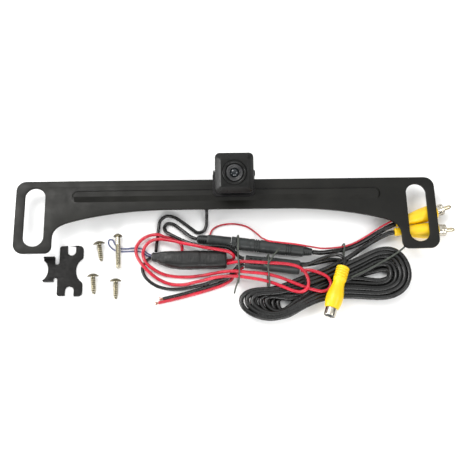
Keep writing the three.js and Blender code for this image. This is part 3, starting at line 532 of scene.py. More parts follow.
RED_LEAD_B_ROUTE = [
    (-32.4, -40.2, 3.6), (-32.6, -36, 2.2), (-35, -31.8, 1.5), (-39.6, -29.5, 1.3), (-44.5, -28.8, 2.4),
    (-49.8, -27.6, 4.6), (-56.8, -28.2, 3), (-62, -31.4, 2.5), (-65, -36.5, 2.6), (-64.7, -42, 3.1),
    (-62.5, -46.8, 3.9), (-59.4, -51, 3.9), (-55, -55.6, 3.1), (-48.1, -60.5, 1.6), (-40, -63.7, 1.3),
    (-31, -64.3, 2), (-23.5, -63.1, 3.4), (-16, -61.8, 4.4), (-10, -60.6, 5.7), (-3, -60.3, 7.5),
    (4, -60.7, 8.8),
    (15, -62.2, 9.2), (28, -65.2, 9.5), (38, -69.4, 10.3), (45, -72.4, 10.4), (50, -73.4, 11.3),
    (53.4, -72.1, 12.6),
    (55, -69, 13.2), (54.8, -64, 13.2), (52.4, -59, 13.3), (48.4, -55.8, 13.2), (42, -53.9, 13.1),
    (34, -53, 13),
    (22, -52.2, 13), (14, -51.4, 12.7), (7.5, -50.8, 11.1), (3, -50.7, 9), (-0.5, -50.7, 7.4),
]
BLACK_LEAD_ROUTE = [
    (11, -52.1, 8.6), (7.6, -53.6, 7.6), (4, -56.8, 6.2), (0, -60.1, 5.2), (-5, -61.6, 4.4),
    (-10, -62.4, 3.5),
    (-17, -64.2, 1.8), (-24, -65.6, 1.3), (-32, -67.1, 1.3), (-41, -67.2, 1.3), (-48.5, -65.5, 1.3),
    (-54.6, -62, 1.3), (-59, -57.2, 1.3), (-60.6, -52, 1.3), (-59, -47.8, 1.3), (-57, -45.4, 1.6),
    (-54.9, -44.4, 2.6),
]
TAP_RED_ROUTE = [
    (11, -52.9, 5), (8, -54.5, 4.3), (5, -58, 3.2), (1.4, -62, 2.4), (-4, -65, 1.5), (-10, -67.1, 1.25),
    (-17, -69.2, 1.25), (-25, -71.4, 1.25), (-34, -73.7, 1.25), (-49, -77, 1.25),
]
TAP_BLACK_ROUTE = [
    (11.2, -49.8, 3.8), (7.4, -51.4, 3.2), (3.6, -55, 2.9), (0.4, -59.2, 2.2), (-4, -62.4, 1.5),
    (-10, -64.5, 1.25), (-17, -66.7, 1.25), (-25, -68.9, 1.25), (-34, -71.2, 1.25), (-46, -74, 1.25),
]
TRIGGER_ROUTE = [
    (119.4, -20, 6.4), (114, -22.6, 6), (107, -26.6, 5.2), (99, -31.6, 5), (91, -36.2, 5.8), (83, -39, 6.1),
    (74, -40.2, 6.3), (66, -40.9, 8.2), (58, -40, 9.8), (48, -38.4, 10.7), (37, -36.9, 10.7),
    (28.5, -35.5, 10.6),
    (25.6, -33.4, 8.8), (24, -31, 5), (21, -26.4, 1.4), (14, -21, 0.8), (4, -18.8, 0.8), (-6, -20.2, 0.8),
    (-10.6, -23.2, 0.9), (-12.4, -27.4, 1.4),
]
LOOP_WIRE_ROUTE = [
    (-54.6, -42.1, 1.9), (-57.5, -40, 0.8), (-61, -37, 0.6), (-66.5, -36.1, 0.6), (-72, -36.6, 0.6),
    (-77, -36.2, 0.6), (-80.4, -33.2, 0.6), (-82.2, -29.8, 0.6), (-84.6, -29.8, 0.6), (-85, -32.6, 0.6),
    (-81.6, -36.8, 0.6), (-77, -38.6, 0.6), (-71, -38.7, 0.6), (-66, -38.5, 0.6), (-61, -39.4, 0.6),
    (-57.6, -42, 0.8), (-54.6, -43.1, 1.1),
]

# The hank lies in three levels of three turns. Each station gives where the top level's outer turn is,
# then the
# shifts in x and y from one turn to the next, and from the top level to the middle one and to the bottom one.
HANK_STATIONS = [
    # outer turn, next turn, middle level, bottom level
    ((83, -49.8), (0, -3.2), (0, -8), (0, -5)),
    ((96, -44.8), (0, -3.1), (0, -7.8), (0, -8)),
    ((106, -39.8), (-0.2, -3), (-0.5, -7.6), (-0.5, -11)),
    ((115, -38.4), (-1, -3), (-2.8, -7.4), (-3, -12)),
    ((122.6, -42), (-2.1, -2.1), (-5.6, -5.6), (-6, -10)),
    ((127.4, -49.4), (-3, -1.1), (-8.2, -3), (-6, -7)),
    ((129.3, -58.5), (-3.1, 0.2), (-8.6, 0.4), (-5, -1)),
    ((127, -68.5), (-2.7, 1.6), (-7, 4.2), (-4, 2)),
    ((119.5, -75.3), (-1.4, 2.6), (-3.6, 6.8), (-2, 2.6)),
    ((108, -78), (-0.3, 3), (-0.8, 7.4), (-0.4, 2)),
    ((94, -77), (0, 3.1), (0, 8), (0, 1.8)),
    ((78, -75.8), (0, 3), (0, 7.6), (0, 1.5)),
    ((64, -77.6), (0, 2.6), (0, 6.4), (0, 1.2)),
    ((49, -84.2), (0.2, 2.2), (0.4, 4.4), (0.2, 1.2)),
    ((33, -91.4), (0.6, 1.6), (2, 1.4), (4, 1)),
    ((20, -90), (2, 1.4), (6, 0.6), (11, 0.6)),
    ((10.6, -84.6), (3.2, 1), (9, 0.6), (17, 0.6)),
    ((6.4, -78.2), (3.5, 0.2), (9.8, 0), (19, 0.2)),
    ((8.6, -72.8), (3.3, -0.8), (9.2, -0.6), (18, -0.4)),
    ((17, -69.8), (2.6, -1.3), (7, -1.2), (13, -0.8)),
    ((31, -70.6), (1, -1.6), (3, -2.2), (6, -1.4)),
    ((47, -64), (0, -2.8), (0, -7), (0, -3.4)),
    ((58, -60), (0, -3), (0, -7.8), (0, -4)),
    ((70, -55.8), (0, -3.2), (0, -8), (0, -4.4)),
]
TOP, MIDDLE, BOTTOM = 2, 1, 0
SETTLING = 18
LEVEL_HEIGHT = (1.95, 4.7, 7.4)
HANK_TURNS = [(level, turn) for level, turns in ((BOTTOM, (0, 1, 2)), (MIDDLE, (2, 1, 0)), (TOP, (2, 1, 0)))
              for turn in turns]


def turn_point(station, level, number):
    """Where one turn of one level passes a station."""
    outer, step, middle, bottom = station
    shift = {TOP: (0, 0), MIDDLE: middle, BOTTOM: bottom}[level]
    x, y = (o + b + number * d for o, b, d in zip(outer, shift, step))
    return Vector((x, y, LEVEL_HEIGHT[level]))


def hank_line():
    """Centreline of the coiled cable, one turn after the next, from the joint's tail to the plug's."""
    rng = random.Random(7)
    points = []
    before = HANK_TURNS[0]
    for turn in HANK_TURNS:
        for i, station in enumerate(HANK_STATIONS):
            moved = min(1, 2.5 * i / len(HANK_STATIONS))
            point = turn_point(station, *before).lerp(turn_point(station, *turn), moved)
            wander = Vector((rng.uniform(-0.25, 0.25), rng.uniform(-0.25, 0.25), rng.uniform(-0.12, 0.12)))
            points.append(tuple(point + wander))
        before = turn
    return points


def video_cable():
    """The whole video cable: joint, hank, plug. The plug's tail crosses over the joint's where they part."""
    crossing = [(79, -51.2, 7.2), (86, -47.4, 6.8), (91.8, -43.4, 5.4)]
    tail_out = list(reversed(VIDEO_TAIL_PLUG_ROUTE))[1:]
    line = spline(VIDEO_TAIL_JOINT_ROUTE[:-1] + hank_line()[1:] + crossing + tail_out, 2.0)
    for _ in range(SETTLING):
        line[3:-3] = [(a + b * 2 + c) / 4 for a, b, c in zip(line[2:-4], line[3:-3], line[4:-2])]
    return line


def make_cord(name, route, diameter, look, slot, nodes, step=1.2):
    line = spline(route, step) if isinstance(route[0], tuple) else route
    obj = wire(name, line, diameter, look)
    keep(obj, slot, *nodes)
    return obj


make_cord("camera_lead", CAMERA_CORD_ROUTE, CAMERA_CORD, BLACK, "cord_black", ["camera_cord"])
make_cord("module_lead", MODULE_CABLE_ROUTE, MODULE_CABLE, BLACK, "cord_black", ["module_cable"])
make_cord("plug_a_lead", PLUG_A_CORD_ROUTE, VIDEO_CABLE, BLACK, "cord_black", ["plug_a_cord"])
make_cord("video_cable", video_cable(), VIDEO_CABLE, BLACK, "cord_black",
          ["video_tail_joint", "video_cable_hank", "video_tail_plug"])
make_cord("jack_lead", JACK_CORD_ROUTE, MODULE_CABLE, BLACK, "cord_black", ["jack_cord"])
make_cord("power_lead_a", RED_LEAD_A_ROUTE, POWER_WIRE, RED, "cord_red", ["red_lead_a"])
make_cord("power_lead_b", RED_LEAD_B_ROUTE, POWER_WIRE, RED, "cord_red", ["red_lead_b"])
make_cord("ground_lead", BLACK_LEAD_ROUTE, POWER_WIRE, BLACK, "cord_black", ["black_lead"])
make_cord("tap_lead_red", TAP_RED_ROUTE, TAP_WIRE, RED, "cord_red", ["tap_red"])
make_cord("tap_lead_black", TAP_BLACK_ROUTE, TAP_WIRE, BLACK, "cord_black", ["tap_black"])
make_cord("trigger_lead", TRIGGER_ROUTE, TRIGGER_WIRE, RED, "cord_red", ["trigger_wire"])
make_cord("select_loop", LOOP_WIRE_ROUTE, LOOP_WIRE, BLUE, "cord_blue", ["loop_wire"], 0.8)


# ---------------------------------------------------------------- mounting bar
BAR_BACK, BAR_FRONT = 12, 14
BAR_HALF, BAR_TOP, BAR_NARROW = 150, 10.7, -12
TAB_BOTTOM, TAB_INNER, CORNER = -43.5, 123.2, 7
SLOT_X, SLOT_TOP, SLOT_BOTTOM, SLOT_R = 136.3, 5.5, -38.4, 7.1
RIB_Y, RIB_HALF, RIB_WIDTH, RIB_RISE = -1.5, 110.5, 9, 1.9
RIB_BACK_FLANK, RIB_FRONT_FLANK = 1.5, 3.7


def bar_outline():
    right = [(0, BAR_TOP)]
    right += arc(BAR_HALF - CORNER, BAR_TOP - CORNER, CORNER, 90, 0)
    right += arc(BAR_HALF - CORNER, TAB_BOTTOM + CORNER, CORNER, 0, -90)
    right += arc(TAB_INNER + 5, TAB_BOTTOM + 5, 5, -90, -180)
    right += bezier((TAB_INNER, -33), (TAB_INNER, -25), (118, -22.3), (109, -20))
    right += bezier((109, -20), (88, -14.8), (66, BAR_NARROW), (40, BAR_NARROW), 20)[1:]
    left = [(-x, y) for x, y in reversed(right[1:])]
    return right + left


def slot_outline(x):
    return arc(x, SLOT_BOTTOM + SLOT_R, SLOT_R, 180, 360, 20) + arc(x, SLOT_TOP - SLOT_R, SLOT_R, 0, 180, 20)


def pressed_rib():
    """Long pressed rib with round ends, flat on top, with a crisp step at its foot."""
    bm = bmesh.new()
    half = RIB_WIDTH / 2 + 0.5
    columns = [-RIB_HALF - 0.5 + i * 0.25 for i in range(45)]
    columns += [c for c in (-RIB_HALF + 11 + i * (2 * RIB_HALF - 22) / 40 for i in range(41))]
    columns += [RIB_HALF - 10.5 + i * 0.25 for i in range(45)]
    rows = [-half + 2 * half * j / 48 for j in range(49)]
    reach = RIB_HALF - RIB_WIDTH / 2
    grid = []
    for x in columns:
        line = []
        for y in rows:
            inside = RIB_WIDTH / 2 - math.hypot(max(0.0, abs(x) - reach), y)
            back, front = RIB_WIDTH / 2 - y, RIB_WIDTH / 2 + y
            t = max(0, min(1, back / RIB_BACK_FLANK, front / RIB_FRONT_FLANK, inside / RIB_BACK_FLANK))
            rise = RIB_RISE * t - 0.06
            line.append(bm.verts.new((x * MM, (y + RIB_Y) * MM, (BAR_FRONT + rise) * MM)))
        grid.append(line)
    for a, b in zip(grid, grid[1:]):
        for j in range(len(rows) - 1):
            bm.faces.new((a[j], b[j], b[j + 1], a[j + 1]))
    return new_object("bar_rib", bm, BAR, 20)


def make_bar():
    holes = [slot_outline(side * SLOT_X) for side in (-1, 1)]
    plate = sheet_metal("bar_plate", bar_outline(), holes, BAR_BACK, BAR_FRONT, 0.45, BAR)
    keep(plate, "bar_paint", "mounting_bar")
    keep(pressed_rib(), "bar_paint")


make_bar()


# ---------------------------------------------------------------- camera pod, built about its pivot
POD_PLACE = Matrix.Scale(MM, 4) @ Matrix.Translation((5, 8.3, 29.5)) @ Matrix.Rotation(20 * DEG, 4, "X")
BEZEL_W, BEZEL_H, BEZEL_BACK, BEZEL_FRONT = 27, 28, 5, 10.6


def rounded_ring(width, height, radius, z, count=8):
    out = []
    for cx, cy, start in ((1, 1, 0), (-1, 1, 90), (-1, -1, 180), (1, -1, 270)):
        out += [(x, y, z) for x, y in arc(cx * (width / 2 - radius), cy * (height / 2 - radius), radius,
                                          start, start + 90, count)]
    return out


def loft(name, rings, transform, look, angle=30, cap_ends=True):
    """Skin through rings of equal point counts."""
    bm = bmesh.new()
    rows = [[bm.verts.new(transform @ Vector(p)) for p in ring] for ring in rings]
    for low, high in zip(rows, rows[1:]):
        for k in range(len(low)):
            n = (k + 1) % len(low)
            bm.faces.new((low[k], low[n], high[n], high[k]))
    if cap_ends:
        bm.faces.new(list(reversed(rows[0])))
        bm.faces.new(rows[-1])
    return new_object(name, bm, look, angle)


def bezel_rings():
    """Outer skin of the bezel from its back rim to the seat of the lens ring."""
    w, h = BEZEL_W, BEZEL_H
    rings = [
        rounded_ring(w - 0.9, h - 0.9, 3.0, BEZEL_BACK),
        rounded_ring(w - 0.2, h - 0.2, 3.3, BEZEL_BACK + 0.25),
        rounded_ring(w, h, 3.4, BEZEL_BACK + 0.6),
        rounded_ring(w, h, 3.4, BEZEL_BACK + 1.3),
        rounded_ring(w - 0.25, h - 0.25, 3.3, BEZEL_BACK + 1.75),
        rounded_ring(w - 0.8, h - 0.8, 3.0, BEZEL_BACK + 2.2),
        rounded_ring(w - 7.4, h - 7.4, 1.5, BEZEL_FRONT - 0.4),
        rounded_ring(w - 8.0, h - 8.0, 1.3, BEZEL_FRONT - 0.1),
        rounded_ring(w - 8.8, h - 8.8, 1.1, BEZEL_FRONT),
    ]
    return rings


def seat_ring(radius, z, count=36):
    """Circle with its points in the order of the rounded rings."""
    return [(radius * math.cos(a), radius * math.sin(a), z)
            for a in ((k + 0.5) * 2 * math.pi / count for k in range(count))]


def make_bezel():
    rings = bezel_rings()
    for radius, z in ((8.75, BEZEL_FRONT), (8.6, BEZEL_FRONT - 0.15), (8.6, BEZEL_FRONT - 1.5),
                      (6.1, BEZEL_FRONT - 1.5), (6.1, BEZEL_BACK)):
        rings.append(seat_ring(radius, z))
    # the back is closed by joining the last ring to the first
    rings.append(rings[0])
    bezel = loft("pod_bezel", rings[:-1], POD_PLACE, POD_PLASTIC, 28, cap_ends=False)
    bm = bmesh.new()
    bm.from_mesh(bezel.data)
    bm.verts.ensure_lookup_table()
    count = 36
    last = (len(rings) - 2) * count
    for k in range(count):
        n = (k + 1) % count
        bm.faces.new((bm.verts[last + k], bm.verts[last + n], bm.verts[n], bm.verts[k]))
    bmesh.ops.recalc_face_normals(bm, faces=bm.faces)
    bm.to_mesh(bezel.data)
    bm.free()
    finish_mesh(bezel, 28)
    keep(bezel, "pod_plastic", "front_bezel", body=POD)


def make_lens():
    front = BEZEL_FRONT + 0.5
    ring = lathe("lens_retainer", [
        (6.35, front - 1.7), (8.3, front - 1.7), (8.3, front - 0.35), (7.9, front), (7.35, front),
        (7.2, front - 0.3),
        (6.7, front - 0.45), (6.35, front - 1.0),
    ], POD_PLACE, POD_PLASTIC, 96, 0.12, ring=True)
    keep(ring, "pod_plastic", "lens_ring", body=POD)
    barrel = lathe("lens_tube", [
        (0, 1.6), (4.8, 1.6), (4.8, 4.6), (5.8, 5.2), (5.8, 10.2), (5.3, 10.5), (4.9, 10.35), (4.8, 10.0),
        (4.35, 9.95),
        (4.25, 9.6), (3.9, 9.5), (3.8, 9.1), (3.4, 9.0), (3.3, 7.4), (0, 7.4),
    ], POD_PLACE, BARREL, 96, 0.08)
    keep(barrel, "lens_barrel_paint", "lens_barrel", body=POD)
    dome = [(0, 7.7), (3.0, 7.7), (3.0, 8.4)]
    dome += [(3.05 * math.cos(a * DEG), 8.35 + 1.75 * math.sin(a * DEG)) for a in range(8, 86, 7)]
    dome.append((0, 10.1))
    glass = lathe("lens_dome", dome, POD_PLACE, GLASS, 64, 0.02)
    keep(glass, "lens_glass", "lens_front_glass", body=POD)


def carry_on(nodes, look, slot, body, width=0.18, segments=2):
    for node in nodes:
        keep(refined(node, look, width, segments), slot, node, body=body)


make_bezel()
make_lens()
carry_on(["rear_shell"], POD_PLASTIC, "pod_plastic", POD, 0.4, 3)
carry_on(["lens_holder"], BARREL, "pod_plastic", POD, 0.1)
carry_on(["housing_gasket"], RUBBER, "seal_rubber", POD, 0.1)
carry_on(["image_sensor"], CHIP, "chip", POD, 0.1)
carry_on(["sensor_board"], BOARD, "board_green", POD, 0.06)
carry_on(["camera_cradle"], BASE_PLASTIC, "pod_plastic", ROOT, 0.45, 3)
carry_on(["rear_clamp_block"], BASE_PLASTIC, "pod_plastic", ROOT, 0.5, 3)


# ---------------------------------------------------------------- screws
def cross_cut(obj, transform, top, depth, span, width):
    """Sinks a cross recess into a screw's head."""
    bm = bmesh.new()
    for a, b in ((span, width), (width, span)):
        taper = 0.55
        low = [bm.verts.new(transform @ Vector((x * a * taper / 2, y * b * taper / 2, top - depth)))
               for x, y in ((-1, -1), (1, -1), (1, 1), (-1, 1))]
        high = [bm.verts.new(transform @ Vector((x * a / 2, y * b / 2, top + 0.6)))
                for x, y in ((-1, -1), (1, -1), (1, 1), (-1, 1))]
        bm.faces.new(list(reversed(low)))
        bm.faces.new(high)
        for k in range(4):
            n = (k + 1) % 4
            bm.faces.new((low[k], low[n], high[n], high[k]))
    cutter = new_object("cutter", bm, BLACK_OXIDE)
    mod = obj.modifiers.new("recess", "BOOLEAN")
    mod.object = cutter
    mod.operation = "DIFFERENCE"
    mod.solver = "EXACT"
    mod.use_self = True
    baked(obj)
    bpy.data.objects.remove(cutter)
    return finish_mesh(obj, 30)


def thread(low, high, pitch, depth, taper_low=0.0):
    """Wobble for a lathe: a helical thread between two heights."""
    def shape(r, z, angle):
        if r < 0.2 or not low <= z <= high:
            return r, z
        phase = (z / pitch + angle / (2 * math.pi)) % 1
        ridge = max(0.0, 1 - abs(phase - 0.5) * 2 / 0.75)
        fade = min(1, (z - low) / pitch + 0.2, (high - z) / pitch + 0.05)
        return r + depth * ridge * max(0, fade), z
    return shape


def threaded_rows(r, low, high, pitch, tip=0.0):
    """Profile rows close enough together to carry a thread, tapering to the tip at the low end."""
    rows = []
    count = round((high - low) / pitch * 8)
    for i in range(count + 1):
        z = low + (high - low) * i / count
        rr = r
        if tip and z < low + tip:
            rr = r * (0.4 + 0.6 * ((z - low) / tip) ** 0.8)
        rows.append((rr, z))
    return rows


def make_fixing(name, node, head, shank, length, foot, to, bolt=False):
    direction = [a - b for a, b in zip(foot, to)]
    place = aimed(foot, direction)
    pitch = 0.8 if bolt else 1.45
    depth = 0.3 if bolt else 0.6
    top = -6.0 if bolt else -0.6
    core = shank - (0.2 if bolt else 0.3)
    profile = [(0, -length)]
    profile += threaded_rows(core, -length + 0.01, top, pitch, 0.5 if bolt else 2.6)
    profile += [(shank, top + 0.3), (shank, 0.2), (0, 0.2)]
    obj = lathe(name + "_shank", profile, place, ZINC, 48, 0.03, thread(-length, top, pitch, depth))
    keep(obj, "fixing_steel", node, body=node)
    # dark core standing just proud of the thread valleys: painted shade in the grooves of the thread, which
    # are the same plated zinc as the crests
    valley = core + 0.3 * depth
    thread_shade_profile = [(0, -length + 0.2), (valley * 0.6, -length + 0.2), (valley, -length + 2.8), (valley, top),
            (0, top)]
    obj = lathe(name + "_painted_thread_shade", thread_shade_profile, place, ZINC_HEAD_AND_THREAD_SHADE, 40, 0.1)
    keep(obj, "fixing_steel", body=node)
    dome = [(0, 0.02), (shank + 0.1, 0.02), (head * 0.93, 0.02), (head, 0.3), (head, 0.55),
            (head * 0.9, 0.95),
            (head * 0.66, 1.65), (head * 0.4, 2.12), (0.6, 2.36), (0, 2.4)]
    obj = lathe(name + "_head", dome, place, ZINC_HEAD_AND_THREAD_SHADE, 48, 0.06)
    cross_cut(obj, place, 2.4, 1.5, 3.6 if head > 4 else 3.0, 0.8)
    return keep(obj, "fixing_steel", body=node)


make_fixing("pan_screw_1", "short_screw_1", 4.3, 1.7, 12.4, (-91.2, -34.2, 4.5), (-89.5, -46.4, 2.1))
make_fixing("pan_screw_2", "short_screw_2", 4.2, 1.7, 12.4, (-94.7, -58.2, 4.5), (-94, -70.4, 2.1))
make_fixing("pan_screw_3", "short_screw_3", 4.2, 1.7, 12.4, (-78.8, -62, 4.5), (-78.8, -74.2, 2.1))
make_fixing("machine_bolt", "long_bolt", 3.2, 1.8, 23.2, (-78.1, -28.6, 3.7), (-77.4, -51.8, 2.5), bolt=True)

carry_on([f"housing_screw_{i}" for i in range(1, 5)], BLACK_OXIDE, "small_screw_steel", POD, 0.08)
carry_on(["pivot_screw_left", "pivot_screw_right"], BLACK_OXIDE, "small_screw_steel", POD, 0.1)
carry_on(["cradle_screw_left", "cradle_screw_right"], BLACK_OXIDE, "small_screw_steel", ROOT, 0.1)


# ---------------------------------------------------------------- inline connector and harness joint
CONNECTOR_PLACE = aimed((-21.7, -31.9, 6.1), (81.6, -11, 0))
JOINT_PLACE = aimed((12, -49.5, 6.6), (38.4, -5, 0))


def relief(bands, inner, sectors=4, share=0.62):
    """Wobble for a lathe: rows of windows cut into a strain relief."""
    def shape(r, z, angle):
        turn = (angle / (2 * math.pi) * sectors) % 1
        for low, high in bands:
            if low <= z <= high and r > inner and (1 - share) / 2 < turn < (1 + share) / 2:
                return inner, z
        return r, z
    return shape


def knurl(low, high, teeth, depth):
    def shape(r, z, angle):
        if low <= z <= high and r > 3:
            return r - depth * max(0.0, math.sin(teeth * angle)) ** 0.6, z
        return r, z
    return shape


def dense(profile, step=0.3, low=None, high=None):
    """Adds rows to a profile between two heights, so that a wobble has something to move."""
    out = [profile[0]]
    for (r0, z0), (r1, z1) in zip(profile, profile[1:]):
        span = abs(z1 - z0)
        inside = (low is None or min(z0, z1) >= low - 0.01) and (high is None or max(z0, z1) <= high + 0.01)
        count = max(1, round(span / step)) if inside else 1
        out += [(r0 + (r1 - r0) * i / count, z0 + (z1 - z0) * i / count) for i in range(1, count + 1)]
    return out


def grooved(profile, grooves, depth, width):
    """Cuts square grooves at given heights into a profile's outer wall."""
    out = []
    for (r0, z0), (r1, z1) in zip(profile, profile[1:]):
        out.append((r0, z0))
        for g in grooves:
            if z0 < g and g + width < z1 and r0 > 0 and r1 > 0:
                wall = lambda z: r0 + (r1 - r0) * (z - z0) / (z1 - z0)
                out += [(wall(g), g), (wall(g) - depth, g + 0.08),
                        (wall(g + width) - depth, g + width - 0.08),
                        (wall(g + width), g + width)]
    out.append(profile[-1])
    return out


def make_connectors():
    plug = [(0, -0.2), (1.7, -0.2), (2.0, 0.2), (2.9, 1.0), (3.5, 7.4), (3.9, 7.9), (4.1, 8.7), (4.1, 23.6),
            (3.9, 24.2),
            (0, 24.2)]
    bands = [(1.5, 2.2), (3.0, 3.7), (4.5, 5.2), (6.0, 6.7)]
    plug = dense(plug, 0.16, 1.0, 7.4)
    obj = lathe("module_plug", plug, CONNECTOR_PLACE, CONNECTOR, 72, 0.14, relief(bands, 1.9, 4, 0.66))
    keep(obj, "connector_plastic", "inline_plug_body")
    ring = [(0, 24.5), (4.3, 24.5), (4.6, 24.8), (4.6, 27.7), (4.3, 28.0), (0, 28.0)]
    obj = lathe("lock_ring", dense(ring, 0.3, 24.8, 27.7), CONNECTOR_PLACE, CONNECTOR, 144, 0.1,
                knurl(24.9, 27.6, 22, 0.38))
    keep(obj, "connector_plastic", "inline_lock_ring")
    body = [(0, 28.3), (4.2, 28.3), (4.5, 28.7), (4.5, 36.5), (4.35, 37.0), (4.35, 38.3), (4.5, 38.8),
            (4.5, 62),
            (4.2, 68), (4.1, 75.4)]
    body = grooved(body, (41.0, 42.6, 44.2, 63.4, 65.0, 66.6), 0.5, 0.7)
    tail = [(3.9, 75.8), (3.5, 76.2), (2.4, 82.0), (1.9, 82.2), (0, 82.2)]
    body = body + dense(tail, 0.16, 75.8, 82.0)
    bands = [(76.6, 77.3), (78.0, 78.7), (79.4, 80.1), (80.8, 81.4)]
    obj = lathe("socket_housing", body, CONNECTOR_PLACE, CONNECTOR, 72, 0.12, relief(bands, 1.8, 4, 0.66))
    keep(obj, "connector_plastic", "inline_socket_body")

    joint = [(0, 0), (4.3, 0), (4.6, 0.4), (4.7, 12), (5, 13), (5, 37.5), (4.6, 38.6), (0, 38.6)]
    windows = [(2.8, 5.0), (6.0, 8.2), (9.2, 11.4)]
    obj = lathe("lead_joint", dense(joint, 0.2, 0.4, 12), JOINT_PLACE, CONNECTOR, 72, 0.2,
                relief(windows, 3.7, 3, 0.42))
    keep(obj, "connector_plastic", "harness_joint")


def make_dimples():
    """Small moulded marks along the socket housing."""
    place = CONNECTOR_PLACE
    for i, (z, angle) in enumerate(((14, 75), (47, 62), (54, 98), (70, 70))):
        r = 4.1 if z < 20 else 4.5 if z < 62 else 4.17
        a = angle * DEG
        spot = place @ Matrix.Rotation(a, 4, "Z") @ Matrix.Translation((r, 0,
                                                                        z)) @ Matrix.Rotation(90 * DEG, 4,
                                                                                              "Y")
        obj = lathe(f"mould_mark_{i + 1}", [(0, -0.5), (0.55, -0.5), (0.5, 0.02), (0.34, 0.06),
                                            (0.3, -0.12), (0, -0.14)],
                    spot, CONNECTOR, 20, 0.04)
        keep(obj, "connector_plastic")


make_connectors()
make_dimples()


# ---------------------------------------------------------------- power filter in its shrunk sleeve
def make_filter():
    """Sleeve over a small board: puckered at its left end, squeezed flat at its right."""
    stations = [
        # x, y centre, half width, half height, z centre, pucker
        (-53.9, -43.9, 2.6, 2.4, 3.0, 1.0),
        (-52.6, -44.0, 3.4, 3.0, 3.4, 1.0),
        (-50.5, -44.6, 3.3, 3.5, 3.9, 0.9),
        (-48.0, -45.3, 4.4, 4.3, 4.6, 0.6),
        (-44.5, -46.1, 5.2, 4.9, 5.2, 0.35),
        (-40.0, -46.9, 5.9, 5.1, 5.5, 0.2),
        (-34.0, -47.5, 6.4, 5.2, 5.6, 0.12),
        (-26.0, -47.5, 6.5, 5.2, 5.6, 0.1),
        (-20.5, -47.4, 6.5, 5.2, 5.6, 0.1),
        (-19.4, -47.4, 6.3, 5.05, 5.5, 0.1),
        (-17.8, -47.4, 6.35, 5.05, 5.5, 0.1),
        (-11.0, -47.4, 6.4, 5.1, 5.5, 0.12),
        (-5.0, -47.3, 6.5, 5.15, 5.6, 0.12),
        (-2.2, -47.2, 6.5, 5.1, 5.55, 0.2),
        (-1.2, -47.1, 6.2, 4.8, 5.4, 0.2),
    ]
    rng = random.Random(3)
    folds = [rng.uniform(0, 2 * math.pi) for _ in range(5)]
    line = []
    for a, b in zip(stations, stations[1:]):
        steps = max(2, round((b[0] - a[0]) / 0.6))
        line += [tuple(p + (q - p) * i / steps for p, q in zip(a, b)) for i in range(steps)]
    line.append(stations[-1])
    count = 72
    rings = []
    for x, yc, hw, hh, zc, pucker in line:
        ring = []
        for k in range(count):
            t = 2 * math.pi * k / count
            c, s = math.cos(t), math.sin(t)
            power = 0.55
            y = hw * math.copysign(abs(c) ** power, c)
            z = hh * math.copysign(abs(s) ** power, s)
            crease = sum(math.sin((3 + 2 * j) * t + folds[j] + 0.35 * x) for j in range(4)) / 4
            fine = noise.noise(Vector((x * 0.35, y * 0.5, z * 0.5)))
            shrink = 1 - 0.09 * pucker * (1 + crease) - 0.012 * (1 + fine)
            ring.append((x, yc + y * shrink, max(0.32, zc + z * shrink)))
        rings.append(ring)
    # rounded ends
    def shrunk(ring, share, x):
        cy = sum(p[1] for p in ring) / count
        cz = sum(p[2] for p in ring) / count
        return [(x, cy + (p[1] - cy) * share, cz + (p[2] - cz) * share) for p in ring]
    first, last = rings[0], rings[-1]
    rings = [shrunk(first, 0.5, -53.7), shrunk(first, 0.9, -54.0)] + rings + [shrunk(last, 0.93, -1.0),
                                                                            shrunk(last, 0.6, -1.3)]
    obj = loft("filter_sleeve", rings, Matrix.Scale(MM, 4), SLEEVE, 45)
    keep(obj, "filter_sleeve", "power_filter_box")


make_filter()


# ---------------------------------------------------------------- phono plugs and socket
def make_plug(letter, foot, direction):
    place = aimed(foot, direction)
    prefix = f"rca_plug_{letter}_"
    boot = [(0, -0.1), (2.2, -0.1), (2.9, 0.3), (2.9, 3.7), (2.45, 4.1), (2.45, 5.0), (3.3, 5.4),
            (3.7, 7.5), (4.3, 12),
            (5.2, 18.5), (5.55, 22.4)]
    grip = [(5.6, 23.0), (5.6, 30.2), (5.3, 31.2), (4.6, 31.4), (0, 31.4)]
    profile = dense(boot, 1.2) + dense(grip, 0.4, 23.0, 30.2)
    names = []
    obj = lathe(f"plug_{letter}_boot", profile, place, YELLOW, 96, 0.3, knurl(23.6, 29.8, 26, 0.22))
    keep(obj, "yellow_boot", prefix + "boot")
    names.append(obj.name)
    shell_wall = [(3.55, 33.0), (3.55, 36.7), (3.75, 36.95), (4.1, 36.7), (4.15, 35.2), (4.02, 35.0),
                  (4.02, 34.6),
                  (4.15, 34.4), (4.15, 31.7), (2.6, 31.7), (2.6, 32.4), (3.3, 32.5)]
    def petals(r, z, angle):
        turn = (angle / (2 * math.pi) * 4 + 0.5) % 1
        if z > 33.4 and abs(turn - 0.5) < 0.045:
            return r, 33.4
        return r, z
    obj = lathe(f"plug_{letter}_skirt", shell_wall, place, NICKEL, 120, 0.06, petals, ring=True)
    keep(obj, "contact_nickel", prefix + "shell")
    names.append(obj.name)
    disc = [(1.75, 32.8), (3.2, 32.8), (3.2, 34.8), (2.9, 35.0), (1.95, 35.0), (1.75, 34.8)]
    obj = lathe(f"plug_{letter}_insulator", disc, place, WHITE, 48, 0.1, ring=True)
    keep(obj, "insulator_white", prefix + "insulator")
    names.append(obj.name)
    tip = [(0, 32.7), (1.6, 32.7), (1.6, 41.6), (1.48, 42.4), (1.15, 43.2), (0.6, 43.7), (0, 43.8)]
    obj = lathe(f"plug_{letter}_tip", tip, place, PIN_METAL, 40, 0.15)
    keep(obj, "pin_metal", prefix + "pin")
    names.append(obj.name)
    return names


